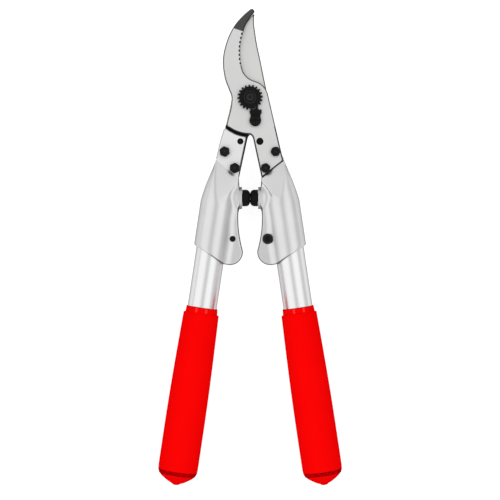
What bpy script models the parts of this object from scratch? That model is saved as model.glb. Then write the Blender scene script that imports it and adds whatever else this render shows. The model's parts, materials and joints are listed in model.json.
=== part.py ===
"""Two-handed bypass lopper, lying flat and closed.

Metres. +Y runs up to the blade tips, +X to the counter-blade's handle, +Z out of the front.
The origin is on the pivot axis, at the flat back of the pivot bolt's head.
Both handles are the same parts: the right side is the left side turned half round about +Y.
Each side is drawn in its own frame, whose Z = 0 is the plane in which the blades shear.
"""
import math

import bmesh
import bpy
from mathutils import Vector

# Fits
SEAT_GAP = 0.0003              # between two pieces that touch
HOLE_CLEARANCE = 0.00025       # round a shank in its hole, on the radius
PIVOT_CLEARANCE = 0.0001       # cutting blade round the pivot shank, on the radius

# Blades
PLATE_THICKNESS = 0.005
PLATE_CHAMFER = 0.0009
SWEEP_RADIUS = 0.0308          # bottom arc of each blade, round the pivot
SWEEP_CLEARANCE = 0.0020       # from that arc to the other side's lug
SWEEP_SHORT = math.radians(3.4)         # how far the arc stops before the waist
TANG_OUTER_TOP = (-0.0136, 0.0066)
TANG_OUTER_END = (-0.0274, -0.0530)
TANG_INNER_TOP_X = -0.0029
TANG_INNER_TOP_DROP = 0.0035   # below the sweep arc's lowest point
TANG_INNER_END = (-0.0100, -0.0672)
TANG_CORNER_RADIUS = 0.0015
CROTCH_X = -0.0020             # where the tang runs round into the sweep arc
CROTCH_DROP = 0.0012
CROTCH_END_X = -0.0002
WAIST = ((0.0196, -0.0216), (0.0181, -0.0157), (0.0163, -0.0088), (0.0155, -0.0020))

# Cutting blade
EDGE_RADIUS = 0.0670           # convex cutting edge, one arc
EDGE_TIP = (0.0029, 0.0706)
EDGE_HEEL = (-0.0142, 0.0118)
EDGE_LAND = 0.0006             # what the grind leaves of the thickness at the edge
GRIND_WIDTH = 0.0075
SPINE = ((0.0155, -0.0015), (0.0137, 0.0064), (0.0116, 0.0160), (0.0083, 0.0300),
         (0.0051, 0.0450), (0.0035, 0.0560), (0.0030, 0.0640), (0.0036, 0.0700))

# Counter-blade, drawn on the left side's frame and turned round with its handle
HOOK_BACK = ((0.0155, -0.0020), (0.0157, 0.0020), (0.0180, 0.0086), (0.0205, 0.0162), (0.0222, 0.0265),
             (0.0221, 0.0355), (0.0203, 0.0440), (0.0172, 0.0528), (0.0125, 0.0612), (0.0062, 0.0686),
             (-0.0004, 0.0745))
HOOK_TIP = ((-0.0018, 0.0747), (-0.0033, 0.0737), (-0.0033, 0.0722))
HOOK_MOUTH = ((-0.0028, 0.0715), (0.0008, 0.0672), (0.0042, 0.0614), (0.0066, 0.0544), (0.0086, 0.0465),
              (0.0092, 0.0394), (0.0087, 0.0318), (0.0066, 0.0236), (0.0038, 0.0180), (-0.0026, 0.0141),
              (-0.0072, 0.0126), (-0.0112, 0.0096))
NOTCH_COUNT = 8
NOTCH_PITCH = 0.0035
NOTCH_WIDTH = 0.0025
NOTCH_FIRST_Y = 0.0289         # lowest notch
NOTCH_FLOOR = 0.0010           # left under each notch, so that the shearing edge stays whole
TIP_BEVEL = ((0.0063, 0.0555), (0.0142, 0.0581))        # line where the hook's tip starts to thin
TIP_BEVEL_SLOPE = 0.127

# Pivot
SHANK_DIAMETER = 0.0120
KEY_ACROSS_FLATS = 0.0100
THREAD_DIAMETER = 0.0080
THREAD_END_DIAMETER = 0.0071
THREAD_STAND_OUT = 0.0008      # bolt end beyond the nut's collar
BOLT_HEAD_DIAMETER = 0.0200
BOLT_HEAD_HEIGHT = 0.0035
BOLT_HEAD_CHAMFER = 0.0006
WASHER_DIAMETER = 0.0220
WASHER_THICKNESS = 0.0010
NUT_TEETH = 20
NUT_OUTER_DIAMETER = 0.0213
NUT_ROOT_DIAMETER = 0.0183
NUT_THICKNESS = 0.0042
NUT_CHAMFER = 0.0004
NUT_TOOTH_SHARES = (0.30, 0.16)        # half widths at root and tip, as parts of the pitch
NUT_COLLAR_DIAMETER = 0.0097
NUT_COLLAR_HEIGHT = 0.0007
MESH_CLEARANCE = 0.00025       # between the nut's teeth and the segment's

# Lock segment, which lies below the nut, a little to the right
SEGMENT_ANGLE = math.radians(-77.4)
SEGMENT_TEETH = 3
SEGMENT_TOOTH_SHARES = (0.26, 0.11)
SEGMENT_SPAN = math.radians(49.7)
SEGMENT_SHOULDER = 0.0016      # width of the rim beside its teeth
SEGMENT_THICKNESS = 0.0030
SEGMENT_BODY_RADIUS = 0.0043   # round end about its screw
SEGMENT_SCREW_DISTANCE = 0.0198
LOCK_HEAD_DIAMETER = 0.0093
LOCK_HEAD_HEIGHT = 0.0026
LOCK_SHANK_DIAMETER = 0.0050
LOCK_SLOT_WIDTH = 0.0012
LOCK_SLOT_DEPTH = 0.0011
LOCK_SLOT_ANGLE = math.radians(-6)
LOCK_RIM_SHARE = 0.35          # straight rim of the domed head, as a part of its height

# Bracket
LUG_THICKNESS = 0.0047
BRACKET_CHAMFER = 0.0009
LUG_INSET = 0.0010             # the tang shows this much beside the lug
LUG_INNER_ANGLE = math.radians(-96.2)
LUG_CORNER_ANGLE = math.radians(-129.5)
LUG_CORNER_RISE = 0.0026       # from the lug's arc out to its outer corner
LUG_OUTER = ((-0.0250, -0.0360), (-0.0283, -0.0500))
HANDLE_OFFSET = 0.0141         # handle axis from the pivot axis, level with it
HANDLE_TILT = math.radians(8.53)
TUBE_DIAMETER = 0.0245
TUBE_WALL = 0.0016
SOCKET_WALL = 0.0018
SOCKET_TOP = 0.0500            # along the handle axis from the pivot's level
SOCKET_FULL = 0.0900           # where the socket has its full diameter
SOCKET_TOP_RADIUS = 0.0052
SOCKET_BLEND = 1.35            # how full the shoulder's curve is
SHOULDER_DISTANCE = 0.0620           # where the web's outer side leaves the shoulder
SHOULDER_SHARE = 1.4           # of the socket's top radius, the web's half width there
WEB_SHARE = 0.80               # of the socket's radius, the web's half width inside it
SOCKET_END_OUTER = 0.1265      # slanted lower end, on the outer side
TUBE_SEAT = 0.0960             # blind end of the tube's bore
RAMP_SLOPE = 0.38              # rise of the flat face from blade level to the socket's top
RAMP_STEP = 0.0002             # how far that face starts above the blade's own
RAMP_INNER = ((-0.0151, -0.0784), (-0.0190, -0.0812), (-0.0245, -0.0795))
RAMP_INSET = 0.0011            # of its inner corner from the diagonal's end
EAR_THICKNESS = 0.0144         # web and ears below the boss
EAR_TOP = 0.0820               # down the handle axis, hidden by the boss and the socket
EAR_LOBE_DISTANCE = 0.1284
EAR_LOBE_OFFSET = 0.0041
EAR_LOBE_RADIUS = 0.0109
EAR_INNER = ((0.1221, 0.0131), (0.1163, 0.0110), (0.1091, 0.0088), (0.1003, 0.0069),
             (0.0923, 0.0059))     # down the handle axis, and from the tube's surface
NECK_INNER = ((-0.0093, -0.0730), (-0.0096, -0.0702), (-0.0107, -0.0672))
SAW_SLOT = 0.0016
SAW_SLOT_TOP_Y = -0.0985
CLAMP_SCREW_DISTANCE = 0.1171  # down the handle axis from the pivot's level
CLAMP_SCREW_OFFSET = 0.0048    # from the tube's surface
CLAMP_SHANK_DIAMETER = 0.0044
CLAMP_HEAD_DIAMETER = 0.0088
CLAMP_HEAD_HEIGHT = 0.0044
CLAMP_SOCKET_DIAMETER = 0.0044
CLAMP_SOCKET_DEPTH = 0.0022

# Fasteners through lug and tang
BLADE_BOLTS = {"upper": (-0.0213, -0.0453), "lower": (-0.0129, -0.0591)}
BLADE_BOLT_DIAMETER = 0.0050
HEX_ACROSS_FLATS = 0.0080
HEX_HEAD_HEIGHT = 0.0035
HEX_NUT_HEIGHT = 0.0040
HEX_CHAMFER_DIAMETER = 0.0078
HEX_CHAMFER_ANGLE = math.radians(30)
BLADE_BOLT_STAND_OUT = 0.0008
PIN_BEYOND_LUG_EDGE = 0.0052   # pin centre from the lug's arc
PIN_ANGLE = math.radians(257.4)
PIN_LUG_DIAMETER = 0.0044
PIN_TANG_DIAMETER = 0.0054
PIN_SOCKET_DIAMETER = 0.0025
PIN_SOCKET_DEPTH = 0.0015

# Bumper and its boss, on an axis along X
BUMPER_Y = -0.0839
BUMPER_DIAMETER = 0.0142
BUMPER_TIP_DIAMETER = 0.0068
BUMPER_STRAIGHT = 0.0022
BUMPER_LENGTH = 0.0062
BUMPER_STEM_DIAMETER = 0.0070
BUMPER_STEM_LENGTH = 0.0060
BUMPER_NIP = 0.0003            # between the two bumpers, closed
BOSS_DIAMETER = 0.0180
BOSS_RIM = 0.0026
BOSS_ROOT_DIAMETER = 0.0116
BOSS_LENGTH = 0.0095

# Handle tube and grip, along the handle axis from the pivot's level
GRIP_TOP = 0.1777
GRIP_LENGTH = 0.1510
GRIP_COLLAR_LENGTH = 0.0050
GRIP_COLLAR_DIAMETER = 0.0286
GRIP_NECK_DIAMETER = 0.0300
GRIP_DIAMETER = 0.0338
GRIP_SWELL_LENGTH = 0.0900          # below the grip's top
GRIP_END_LENGTH = 0.0128
GRIP_END_WALL = 0.0180         # solid end below the tube

# Sides of the round pieces
ROUND = 40
SMALL_ROUND = 18

PLATE_LEVEL = SEAT_GAP / 2
PLATE_FACE = PLATE_LEVEL + PLATE_THICKNESS
SHEAR_Z = BOLT_HEAD_HEIGHT + SEAT_GAP + WASHER_THICKNESS + SEAT_GAP + PLATE_FACE
TANG_INNER_TOP = (TANG_INNER_TOP_X, -SWEEP_RADIUS - TANG_INNER_TOP_DROP)
CROTCH = (CROTCH_X, -SWEEP_RADIUS - CROTCH_DROP)
LUG_RADIUS = SWEEP_RADIUS + SWEEP_CLEARANCE
LUG_FACE = PLATE_LEVEL + LUG_THICKNESS
EAR_FACE = EAR_THICKNESS / 2
LUG_INNER_TOP = (TANG_INNER_TOP[0] - LUG_INSET, TANG_INNER_TOP[1])
SOCKET_RADIUS = TUBE_DIAMETER / 2 + SEAT_GAP + SOCKET_WALL
TANG_END = Vector(TANG_INNER_END) - Vector(TANG_OUTER_END)
PIN_AT = ((LUG_RADIUS + PIN_BEYOND_LUG_EDGE) * math.cos(PIN_ANGLE),
          (LUG_RADIUS + PIN_BEYOND_LUG_EDGE) * math.sin(PIN_ANGLE))
BUMPER_SEAT_X = -(BUMPER_NIP / 2 + BUMPER_LENGTH)


# Scene, collections and frames

for old in list(bpy.data.objects):
    bpy.data.objects.remove(old, do_unlink=True)

parts = bpy.data.collections.new("lopper")
cutters = bpy.data.collections.new("lopper_cutters")
for collection in (parts, cutters):
    bpy.context.scene.collection.children.link(collection)


def empty(name, location, rotation, parent=None):
    """A bare frame that pieces are placed in."""
    frame = bpy.data.objects.new(name, None)
    frame.location = location
    frame.rotation_euler = rotation
    frame.parent = parent
    frame.empty_display_size = SHANK_DIAMETER
    parts.objects.link(frame)
    return frame


HANDLE_TURN = (-math.pi / 2, 0, -HANDLE_TILT)
left_side = empty("left_side", (0, 0, SHEAR_Z), (0, 0, 0))
pivot = empty("pivot", (0, 0, SHEAR_Z), (0, 0, 0))
right_side = empty("right_side", (0, 0, 0), (0, math.pi, 0), pivot)
left_handle = empty("left_handle", (-HANDLE_OFFSET, 0, 0), HANDLE_TURN, left_side)
right_handle = empty("right_handle", (-HANDLE_OFFSET, 0, 0), HANDLE_TURN, right_side)
OTHER_SIDE = {left_side: right_side, left_handle: right_handle}


def material(name, colour, roughness, metallic):
    """A plain Principled BSDF finish."""
    finish = bpy.data.materials.new(name)
    finish.use_nodes = True
    shader = finish.node_tree.nodes["Principled BSDF"]
    shader.inputs["Base Color"].default_value = (*colour, 1)
    shader.inputs["Roughness"].default_value = roughness
    shader.inputs["Metallic"].default_value = metallic
    finish.diffuse_color = (*colour, 1)
    return finish


steel = material("polished_steel", (0.66, 0.66, 0.65), 0.28, 1.0)
alloy = material("satin_alloy", (0.72, 0.72, 0.73), 0.35, 1.0)
tube_alloy = material("bright_tube", (0.80, 0.80, 0.81), 0.22, 1.0)
blacked = material("blacked_steel", (0.015, 0.015, 0.016), 0.35, 0.6)
rubber = material("black_rubber", (0.012, 0.012, 0.012), 0.6, 0.0)
vinyl = material("red_vinyl", (0.90, 0.01, 0.01), 0.35, 0.0)


# Drawing and modelling helpers

def arc(centre, radius, start, stop, steps):
    """Points on a circle from one angle to another, both ends included."""
    angles = [start + (stop - start) * i / steps for i in range(steps + 1)]
    return [(centre[0] + radius * math.cos(a), centre[1] + radius * math.sin(a)) for a in angles]


def smooth(points, steps=3):
    """A Catmull-Rom curve through the points, with the given steps between neighbours."""
    ends = [2 * Vector(points[0]) - Vector(points[1])]
    ends += [Vector(p) for p in points]
    ends += [2 * Vector(points[-1]) - Vector(points[-2])]
    curve = []
    for a, b, c, d in zip(ends, ends[1:], ends[2:], ends[3:]):
        for i in range(steps):
            t = i / steps
            p = (2 * b + (c - a) * t + (2 * a - 5 * b + 4 * c - d) * t * t
                 + (3 * b - a - 3 * c + d) * t * t * t) / 2
            curve.append(tuple(p))
    return curve + [tuple(ends[-2])]


def rounded(before, corner, after, radius, steps=4):
    """A fillet of the given radius at a corner between two straight runs."""
    corner = Vector(corner)
    back = (Vector(before) - corner).normalized()
    on = (Vector(after) - corner).normalized()
    half = back.angle(on) / 2
    bisector = (back + on).normalized()
    centre = corner + bisector * radius / math.sin(half)
    first = corner + back * radius / math.tan(half) - centre
    turn = first.angle_signed(corner + on * radius / math.tan(half) - centre)
    start = math.atan2(first.y, first.x)
    return arc(centre, radius, start, start - turn, steps)


def link(piece, parent, finish=None, collection=parts):
    """Put a new object in its frame and collection."""
    piece.parent = parent
    collection.objects.link(piece)
    if finish:
        piece.data.materials.clear()
        piece.data.materials.append(finish)
    if collection is cutters:
        piece.hide_render = True
        piece.display_type = "WIRE"
    return piece


def flat(name, outline, low, high, parent, finish=None, chamfer=0.0, collection=parts):
    """A flat piece: a filled 2D curve, extruded from one level to another, made a mesh."""
    curve = bpy.data.curves.new(name, "CURVE")
    curve.dimensions = "2D"
    curve.fill_mode = "BOTH"
    curve.extrude = (high - low) / 2 - chamfer
    curve.bevel_depth = chamfer
    curve.bevel_resolution = 0
    curve.offset = -chamfer
    spline = curve.splines.new("POLY")
    spline.points.add(len(outline) - 1)
    for point, (x, y) in zip(spline.points, outline):
        point.co = (x, y, 0, 1)
    spline.use_cyclic_u = True
    drawn = bpy.data.objects.new(name + "_curve", curve)
    parts.objects.link(drawn)
    depsgraph = bpy.context.evaluated_depsgraph_get()
    mesh = bpy.data.meshes.new_from_object(drawn.evaluated_get(depsgraph))
    bpy.data.objects.remove(drawn)
    bpy.data.curves.remove(curve)
    mesh.name = name
    work = bmesh.new()
    work.from_mesh(mesh)
    bmesh.ops.remove_doubles(work, verts=work.verts, dist=0.00001)
    bmesh.ops.translate(work, verts=work.verts, vec=(0, 0, (high + low) / 2))
    bmesh.ops.recalc_face_normals(work, faces=work.faces)
    work.to_mesh(mesh)
    work.free()
    return link(bpy.data.objects.new(name, mesh), parent, finish, collection)


def turned(name, profile, parent, finish=None, steps=SMALL_ROUND, closed=False, collection=parts):
    """A turned piece about its own Z: (radius, height) from the top down its outer side, on a Screw."""
    mesh = bpy.data.meshes.new(name)
    corners = [(radius, 0, height) for radius, height in profile]
    edges = [(i, i + 1) for i in range(len(corners) - 1)]
    if closed:
        edges.append((len(corners) - 1, 0))
    mesh.from_pydata(corners, edges, [])
    piece = bpy.data.objects.new(name, mesh)
    screw = piece.modifiers.new("turn", "SCREW")
    screw.steps = steps
    screw.render_steps = steps
    screw.use_merge_vertices = True
    screw.merge_threshold = 0.00001
    screw.use_smooth_shade = True
    return link(piece, parent, finish, collection)


def box(name, low, high, parent):
    """A box cutter between two corners."""
    mesh = bpy.data.meshes.new(name)
    work = bmesh.new()
    bmesh.ops.create_cube(work, size=1)
    size = Vector(high) - Vector(low)
    bmesh.ops.scale(work, vec=size, verts=work.verts)
    bmesh.ops.translate(work, vec=(Vector(high) + Vector(low)) / 2, verts=work.verts)
    work.to_mesh(mesh)
    work.free()
    return link(bpy.data.objects.new(name, mesh), parent, None, cutters)


def rod(name, radius, low, high, at, parent, steps=SMALL_ROUND, collection=cutters, finish=None):
    """A plain cylinder along Z at a point of its parent's frame."""
    mesh = bpy.data.meshes.new(name)
    work = bmesh.new()
    bmesh.ops.create_cone(work, cap_ends=True, segments=steps, radius1=radius, radius2=radius,
                          depth=high - low)
    bmesh.ops.translate(work, vec=(0, 0, (high + low) / 2), verts=work.verts)
    work.to_mesh(mesh)
    work.free()
    piece = link(bpy.data.objects.new(name, mesh), parent, finish, collection)
    piece.location = (at[0], at[1], 0)
    return piece


def boolean(piece, other, operation="DIFFERENCE"):
    """Cut a piece with another solid, or join or intersect the two."""
    modifier = piece.modifiers.new(operation.lower(), "BOOLEAN")
    modifier.operation = operation
    modifier.solver = "EXACT"
    modifier.object = other
    return piece


def shade(piece, angle=35):
    """Smooth shading that keeps the edges sharper than the angle."""
    piece.data.shade_smooth()
    piece.data.set_sharp_from_angle(angle=math.radians(angle))
    return piece


def copy_right(piece):
    """The same piece on the right side, placed in that side's frame as the left one is in its own."""
    depsgraph = bpy.context.evaluated_depsgraph_get()
    mesh = bpy.data.meshes.new_from_object(piece.evaluated_get(depsgraph))
    twin = bpy.data.objects.new(piece.name.replace("left_", "right_"), mesh)
    twin.location = piece.location
    twin.rotation_euler = piece.rotation_euler
    return link(twin, OTHER_SIDE[piece.parent])


# Blades: each is a head over the same pivot disc and tang

def tang(extra=0.0):
    """The tang, from its outer top down round its end and crotch to the right end of the sweep arc.

    extra moves the diagonal end away from the pivot: the bracket's recess is drawn with it.
    """
    along = TANG_END.normalized()
    away = Vector((along.y, -along.x)) * extra
    outer = Vector(TANG_OUTER_END) + away
    inner = Vector(TANG_INNER_END) + away
    points = [TANG_OUTER_TOP]
    points += rounded(TANG_OUTER_TOP, outer, inner, TANG_CORNER_RADIUS)
    points += rounded(outer, inner, TANG_INNER_TOP, TANG_CORNER_RADIUS / 2)
    points += smooth([TANG_INNER_TOP, CROTCH, (CROTCH_END_X, -SWEEP_RADIUS)], 3)[:-1]
    first = math.asin(CROTCH_END_X / SWEEP_RADIUS) - math.pi / 2
    last = math.atan2(WAIST[0][1], WAIST[0][0]) - SWEEP_SHORT
    points += arc((0, 0), SWEEP_RADIUS, first, last, 10)
    return points


# The edge's centre is on the right of its chord, at equal distances from tip and heel
tip, heel = Vector(EDGE_TIP), Vector(EDGE_HEEL)
half_chord = (tip - heel) / 2
edge_centre = heel + half_chord + (Vector((half_chord.y, -half_chord.x)).normalized()
                                   * math.sqrt(EDGE_RADIUS ** 2 - half_chord.length_squared))
tip_angle, heel_angle = (math.atan2(p.y - edge_centre.y, p.x - edge_centre.x) % (2 * math.pi)
                         for p in (tip, heel))
cutting_edge = arc(edge_centre, EDGE_RADIUS, tip_angle, heel_angle, 22)
blade_outline = tang() + smooth(WAIST, 2)[:-1] + smooth(SPINE, 3) + cutting_edge
hook_outline = (tang() + smooth(WAIST, 2)[:-1] + smooth(HOOK_BACK, 3) + list(HOOK_TIP)
                + smooth(HOOK_MOUTH, 4))


def plate(name, outline, parent):
    """A blade blank: chamfered on its outer face, square on the face that shears."""
    blank = flat(name, outline, -PLATE_LEVEL - PLATE_THICKNESS, -PLATE_LEVEL + PLATE_THICKNESS,
                 parent, steel, PLATE_CHAMFER)
    work = bmesh.new()
    work.from_mesh(blank.data)
    cut = bmesh.ops.bisect_plane(work, geom=work.verts[:] + work.edges[:] + work.faces[:],
                                 plane_co=(0, 0, -PLATE_LEVEL), plane_no=(0, 0, 1), clear_outer=True)
    rim = [e for e in cut["geom_cut"] if isinstance(e, bmesh.types.BMEdge)]
    bmesh.ops.contextual_create(work, geom=rim)
    bmesh.ops.recalc_face_normals(work, faces=work.faces)
    work.to_mesh(blank.data)
    work.free()
    for key, at in BLADE_BOLTS.items():
        hole = rod(f"{name}_bolt_hole_{key}", BLADE_BOLT_DIAMETER / 2 + HOLE_CLEARANCE,
                   -2 * PLATE_FACE, PLATE_FACE, at, parent)
        boolean(blank, hole)
    pin_hole = rod(f"{name}_pin_hole", PIN_TANG_DIAMETER / 2 + HOLE_CLEARANCE,
                   -2 * PLATE_FACE, PLATE_FACE, PIN_AT, parent)
    return shade(boolean(blank, pin_hole))


cutting_blade = plate("cutting_blade", blade_outline, left_side)
boolean(cutting_blade, rod("blade_pivot_hole", SHANK_DIAMETER / 2 + PIVOT_CLEARANCE,
                           -2 * PLATE_FACE, PLATE_FACE, (0, 0), left_side, ROUND))

# The grind is a ring cut about the edge's own centre, kept to the blade's head
grind_slope = (PLATE_THICKNESS - EDGE_LAND) / GRIND_WIDTH
grind_over = 0.002
grind = turned("blade_grind",
               [(EDGE_RADIUS + grind_over, -PLATE_LEVEL - EDGE_LAND + grind_over * grind_slope),
                (EDGE_RADIUS + grind_over, -PLATE_FACE - grind_over * grind_slope),
                (EDGE_RADIUS - GRIND_WIDTH - grind_over, -PLATE_FACE - grind_over * grind_slope)],
               left_side, steps=128, closed=True, collection=cutters)
grind.location = (*edge_centre, 0)
head_space = box("blade_head_space", (heel.x - EDGE_RADIUS, heel.y, -EDGE_RADIUS),
                 (edge_centre.x, heel.y + 2 * EDGE_RADIUS, EDGE_RADIUS), left_side)
boolean(grind, head_space, "INTERSECT")
boolean(cutting_blade, grind)

counter_blade = plate("counter_blade", hook_outline, right_side)
key_hole = rod("counter_key_hole", SHANK_DIAMETER / 2 + HOLE_CLEARANCE, -2 * PLATE_FACE, PLATE_FACE,
               (0, 0), right_side, ROUND)
key_half = KEY_ACROSS_FLATS / 2
key_slab = box("counter_key_slab", (-SHANK_DIAMETER, -key_half - HOLE_CLEARANCE, -3 * PLATE_THICKNESS),
               (SHANK_DIAMETER, key_half + HOLE_CLEARANCE, 2 * PLATE_THICKNESS), right_side)
boolean(counter_blade, boolean(key_hole, key_slab, "INTERSECT"))
mouth = smooth(HOOK_MOUTH, 12)
for i in range(NOTCH_COUNT):
    level = NOTCH_FIRST_Y + i * NOTCH_PITCH
    x = min(mouth, key=lambda p: abs(p[1] - level))[0]
    notch = rod(f"notch_{i}", NOTCH_WIDTH / 2, -2 * PLATE_FACE, -PLATE_LEVEL - NOTCH_FLOOR, (x, level),
                right_side, 12)
    boolean(counter_blade, notch)

# The hook's tip thins under a plane that falls from a line across it
bevel_from, bevel_to = (Vector(p) for p in TIP_BEVEL)
bevel_line = bevel_to - bevel_from
tip_plane = box("tip_bevel", (-EDGE_RADIUS, -EDGE_RADIUS, 0), (EDGE_RADIUS, EDGE_RADIUS, PLATE_THICKNESS),
                right_side)
tip_plane.location = (*bevel_from, -PLATE_FACE)
tip_plane.rotation_euler = (math.pi + math.atan(TIP_BEVEL_SLOPE), 0, math.atan2(bevel_line.y, bevel_line.x))
boolean(counter_blade, tip_plane)


# Pivot: bolt, washer, toothed nut, lock segment and its screw, all carried by the counter-blade

blade_back = -PLATE_FACE
washer_back = blade_back - SEAT_GAP - WASHER_THICKNESS
head_top = washer_back - SEAT_GAP
nut_back = PLATE_FACE + SEAT_GAP
nut_face = nut_back + NUT_THICKNESS
bolt_end = nut_face + NUT_COLLAR_HEIGHT + THREAD_STAND_OUT
shank_r = SHANK_DIAMETER / 2
thread_r = THREAD_DIAMETER / 2
head_r = BOLT_HEAD_DIAMETER / 2

pivot_bolt = turned("pivot_bolt", [
    (0, bolt_end),
    (THREAD_END_DIAMETER / 2, bolt_end),
    (thread_r, bolt_end - (THREAD_DIAMETER - THREAD_END_DIAMETER) / 2),
    (thread_r, PLATE_FACE),
    (shank_r, PLATE_FACE),
    (shank_r, head_top),
    (head_r, head_top),
    (head_r, -SHEAR_Z + BOLT_HEAD_CHAMFER),
    (head_r - BOLT_HEAD_CHAMFER, -SHEAR_Z),
    (0, -SHEAR_Z)], pivot, blacked, ROUND)
for name, near, far in (("lower", -SHANK_DIAMETER, -key_half), ("upper", key_half, SHANK_DIAMETER)):
    key_cut = box(f"key_flat_{name}", (-SHANK_DIAMETER, near, PLATE_LEVEL - SEAT_GAP),
                  (SHANK_DIAMETER, far, PLATE_FACE + SEAT_GAP / 2), pivot)
    boolean(pivot_bolt, key_cut)

pivot_washer = turned("pivot_washer", [
    (shank_r + HOLE_CLEARANCE, blade_back - SEAT_GAP),
    (WASHER_DIAMETER / 2, blade_back - SEAT_GAP),
    (WASHER_DIAMETER / 2, washer_back),
    (shank_r + HOLE_CLEARANCE, washer_back)], pivot, steel, ROUND, closed=True)


def toothed(count, middle, root_r, tip_r, root_share, tip_share):
    """Flat-topped teeth round the pivot, spread evenly about a middle angle.

    The shares are each tooth's half widths at its root and tip, as parts of the pitch.
    """
    pitch = 2 * math.pi / NUT_TEETH
    points = []
    for i in range(count):
        tooth = middle + (i - (count - 1) / 2) * pitch
        corners = ((-root_share, root_r), (-tip_share, tip_r), (tip_share, tip_r), (root_share, root_r))
        for share, radius in corners:
            angle = tooth + share * pitch
            points.append((radius * math.cos(angle), radius * math.sin(angle)))
    return points


nut_outline = toothed(NUT_TEETH, SEGMENT_ANGLE, NUT_ROOT_DIAMETER / 2, NUT_OUTER_DIAMETER / 2,
                      *NUT_TOOTH_SHARES)
pivot_nut = flat("pivot_nut", nut_outline, nut_back, nut_face, pivot, blacked, NUT_CHAMFER)
boolean(pivot_nut, rod("nut_collar", NUT_COLLAR_DIAMETER / 2, nut_back + NUT_THICKNESS / 2,
                       nut_face + NUT_COLLAR_HEIGHT, (0, 0), pivot, ROUND), "UNION")
boolean(pivot_nut, rod("nut_bore", thread_r + HOLE_CLEARANCE, nut_back - NUT_THICKNESS,
                       nut_face + NUT_THICKNESS, (0, 0), pivot, ROUND))
shade(pivot_nut)

# The segment's teeth fill the nut's gaps, less the clearance on every flank
segment_root = NUT_OUTER_DIAMETER / 2 + MESH_CLEARANCE
segment_tip = NUT_ROOT_DIAMETER / 2 + MESH_CLEARANCE
toothed_edge = toothed(SEGMENT_TEETH, SEGMENT_ANGLE, segment_root, segment_tip, *SEGMENT_TOOTH_SHARES)
half_span = SEGMENT_SPAN / 2
low_side, high_side = (Vector((math.cos(a), math.sin(a)))
                       for a in (SEGMENT_ANGLE - half_span, SEGMENT_ANGLE + half_span))
shoulder_r = segment_root + SEGMENT_SHOULDER
screw_at = Vector((math.cos(SEGMENT_ANGLE), math.sin(SEGMENT_ANGLE))) * SEGMENT_SCREW_DISTANCE
round_end = arc(screw_at, SEGMENT_BODY_RADIUS, SEGMENT_ANGLE + math.pi / 2, SEGMENT_ANGLE - math.pi / 2, 12)
segment_outline = ([low_side * shoulder_r, low_side * segment_root] + toothed_edge
                   + [high_side * segment_root, high_side * shoulder_r] + round_end)
segment_face = nut_back + SEGMENT_THICKNESS
lock_segment = flat("lock_segment", segment_outline, nut_back, segment_face, pivot, blacked, NUT_CHAMFER)
boolean(lock_segment, rod("segment_hole", LOCK_SHANK_DIAMETER / 2 + HOLE_CLEARANCE,
                          nut_back - SEGMENT_THICKNESS, segment_face + SEGMENT_THICKNESS, screw_at, pivot))
shade(lock_segment)

lock_seat = segment_face + SEAT_GAP
lock_crown = lock_seat + LOCK_HEAD_HEIGHT
lock_rim = lock_seat + LOCK_HEAD_HEIGHT * LOCK_RIM_SHARE
lock_r = LOCK_HEAD_DIAMETER / 2
lock_screw = turned("lock_screw",
                    [(lock_r * math.sin(a), lock_rim + (lock_crown - lock_rim) * math.cos(a))
                     for a in (math.pi / 2 * i / 4 for i in range(5))]
                    + [(lock_r, lock_seat),
                       (LOCK_SHANK_DIAMETER / 2, lock_seat),
                       (LOCK_SHANK_DIAMETER / 2, PLATE_LEVEL + SEAT_GAP),
                       (0, PLATE_LEVEL + SEAT_GAP)], pivot, blacked, 20)
lock_screw.location = (*screw_at, 0)
slot = box("lock_slot", (-LOCK_HEAD_DIAMETER, -LOCK_SLOT_WIDTH / 2, lock_crown - LOCK_SLOT_DEPTH),
           (LOCK_HEAD_DIAMETER, LOCK_SLOT_WIDTH / 2, lock_crown + LOCK_SLOT_DEPTH), pivot)
slot.location = (*screw_at, 0)
slot.rotation_euler = (0, 0, LOCK_SLOT_ANGLE)
boolean(lock_screw, slot)
boolean(counter_blade, rod("lock_screw_hole", LOCK_SHANK_DIAMETER / 2 + HOLE_CLEARANCE,
                           PLATE_LEVEL - PLATE_FACE, 2 * PLATE_FACE, screw_at, pivot))


# Bracket: flat lug and web, tapered socket, ramp faces, clamp ears and bumper boss

handle_up = Vector((math.sin(HANDLE_TILT), math.cos(HANDLE_TILT)))
handle_in = Vector((math.cos(HANDLE_TILT), -math.sin(HANDLE_TILT)))


def on_handle(distance, inward):
    """A point of the side's plane, by its distance down the handle axis and inwards from it."""
    return Vector((-HANDLE_OFFSET, 0)) - handle_up * distance + handle_in * inward


def beside_tube(distance, offset):
    """A point of the side's plane on the tube's inner side, an offset from its surface."""
    return on_handle(distance, TUBE_DIAMETER / 2 + offset)


# The lower end follows a line from the socket's outer corner, tangent to the ears' round lobe
bottom_corner = on_handle(SOCKET_END_OUTER, -SOCKET_RADIUS)
lobe = beside_tube(EAR_LOBE_DISTANCE, EAR_LOBE_OFFSET)
ear_inner = [beside_tube(*point) for point in EAR_INNER] + list(NECK_INNER)
clamp_at = beside_tube(CLAMP_SCREW_DISTANCE, CLAMP_SCREW_OFFSET)
reach = lobe - bottom_corner
tangent = math.atan2(reach.y, reach.x) - math.asin(EAR_LOBE_RADIUS / reach.length)
ear = arc(lobe, EAR_LOBE_RADIUS, tangent - math.pi / 2, math.radians(8), 12)

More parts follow.
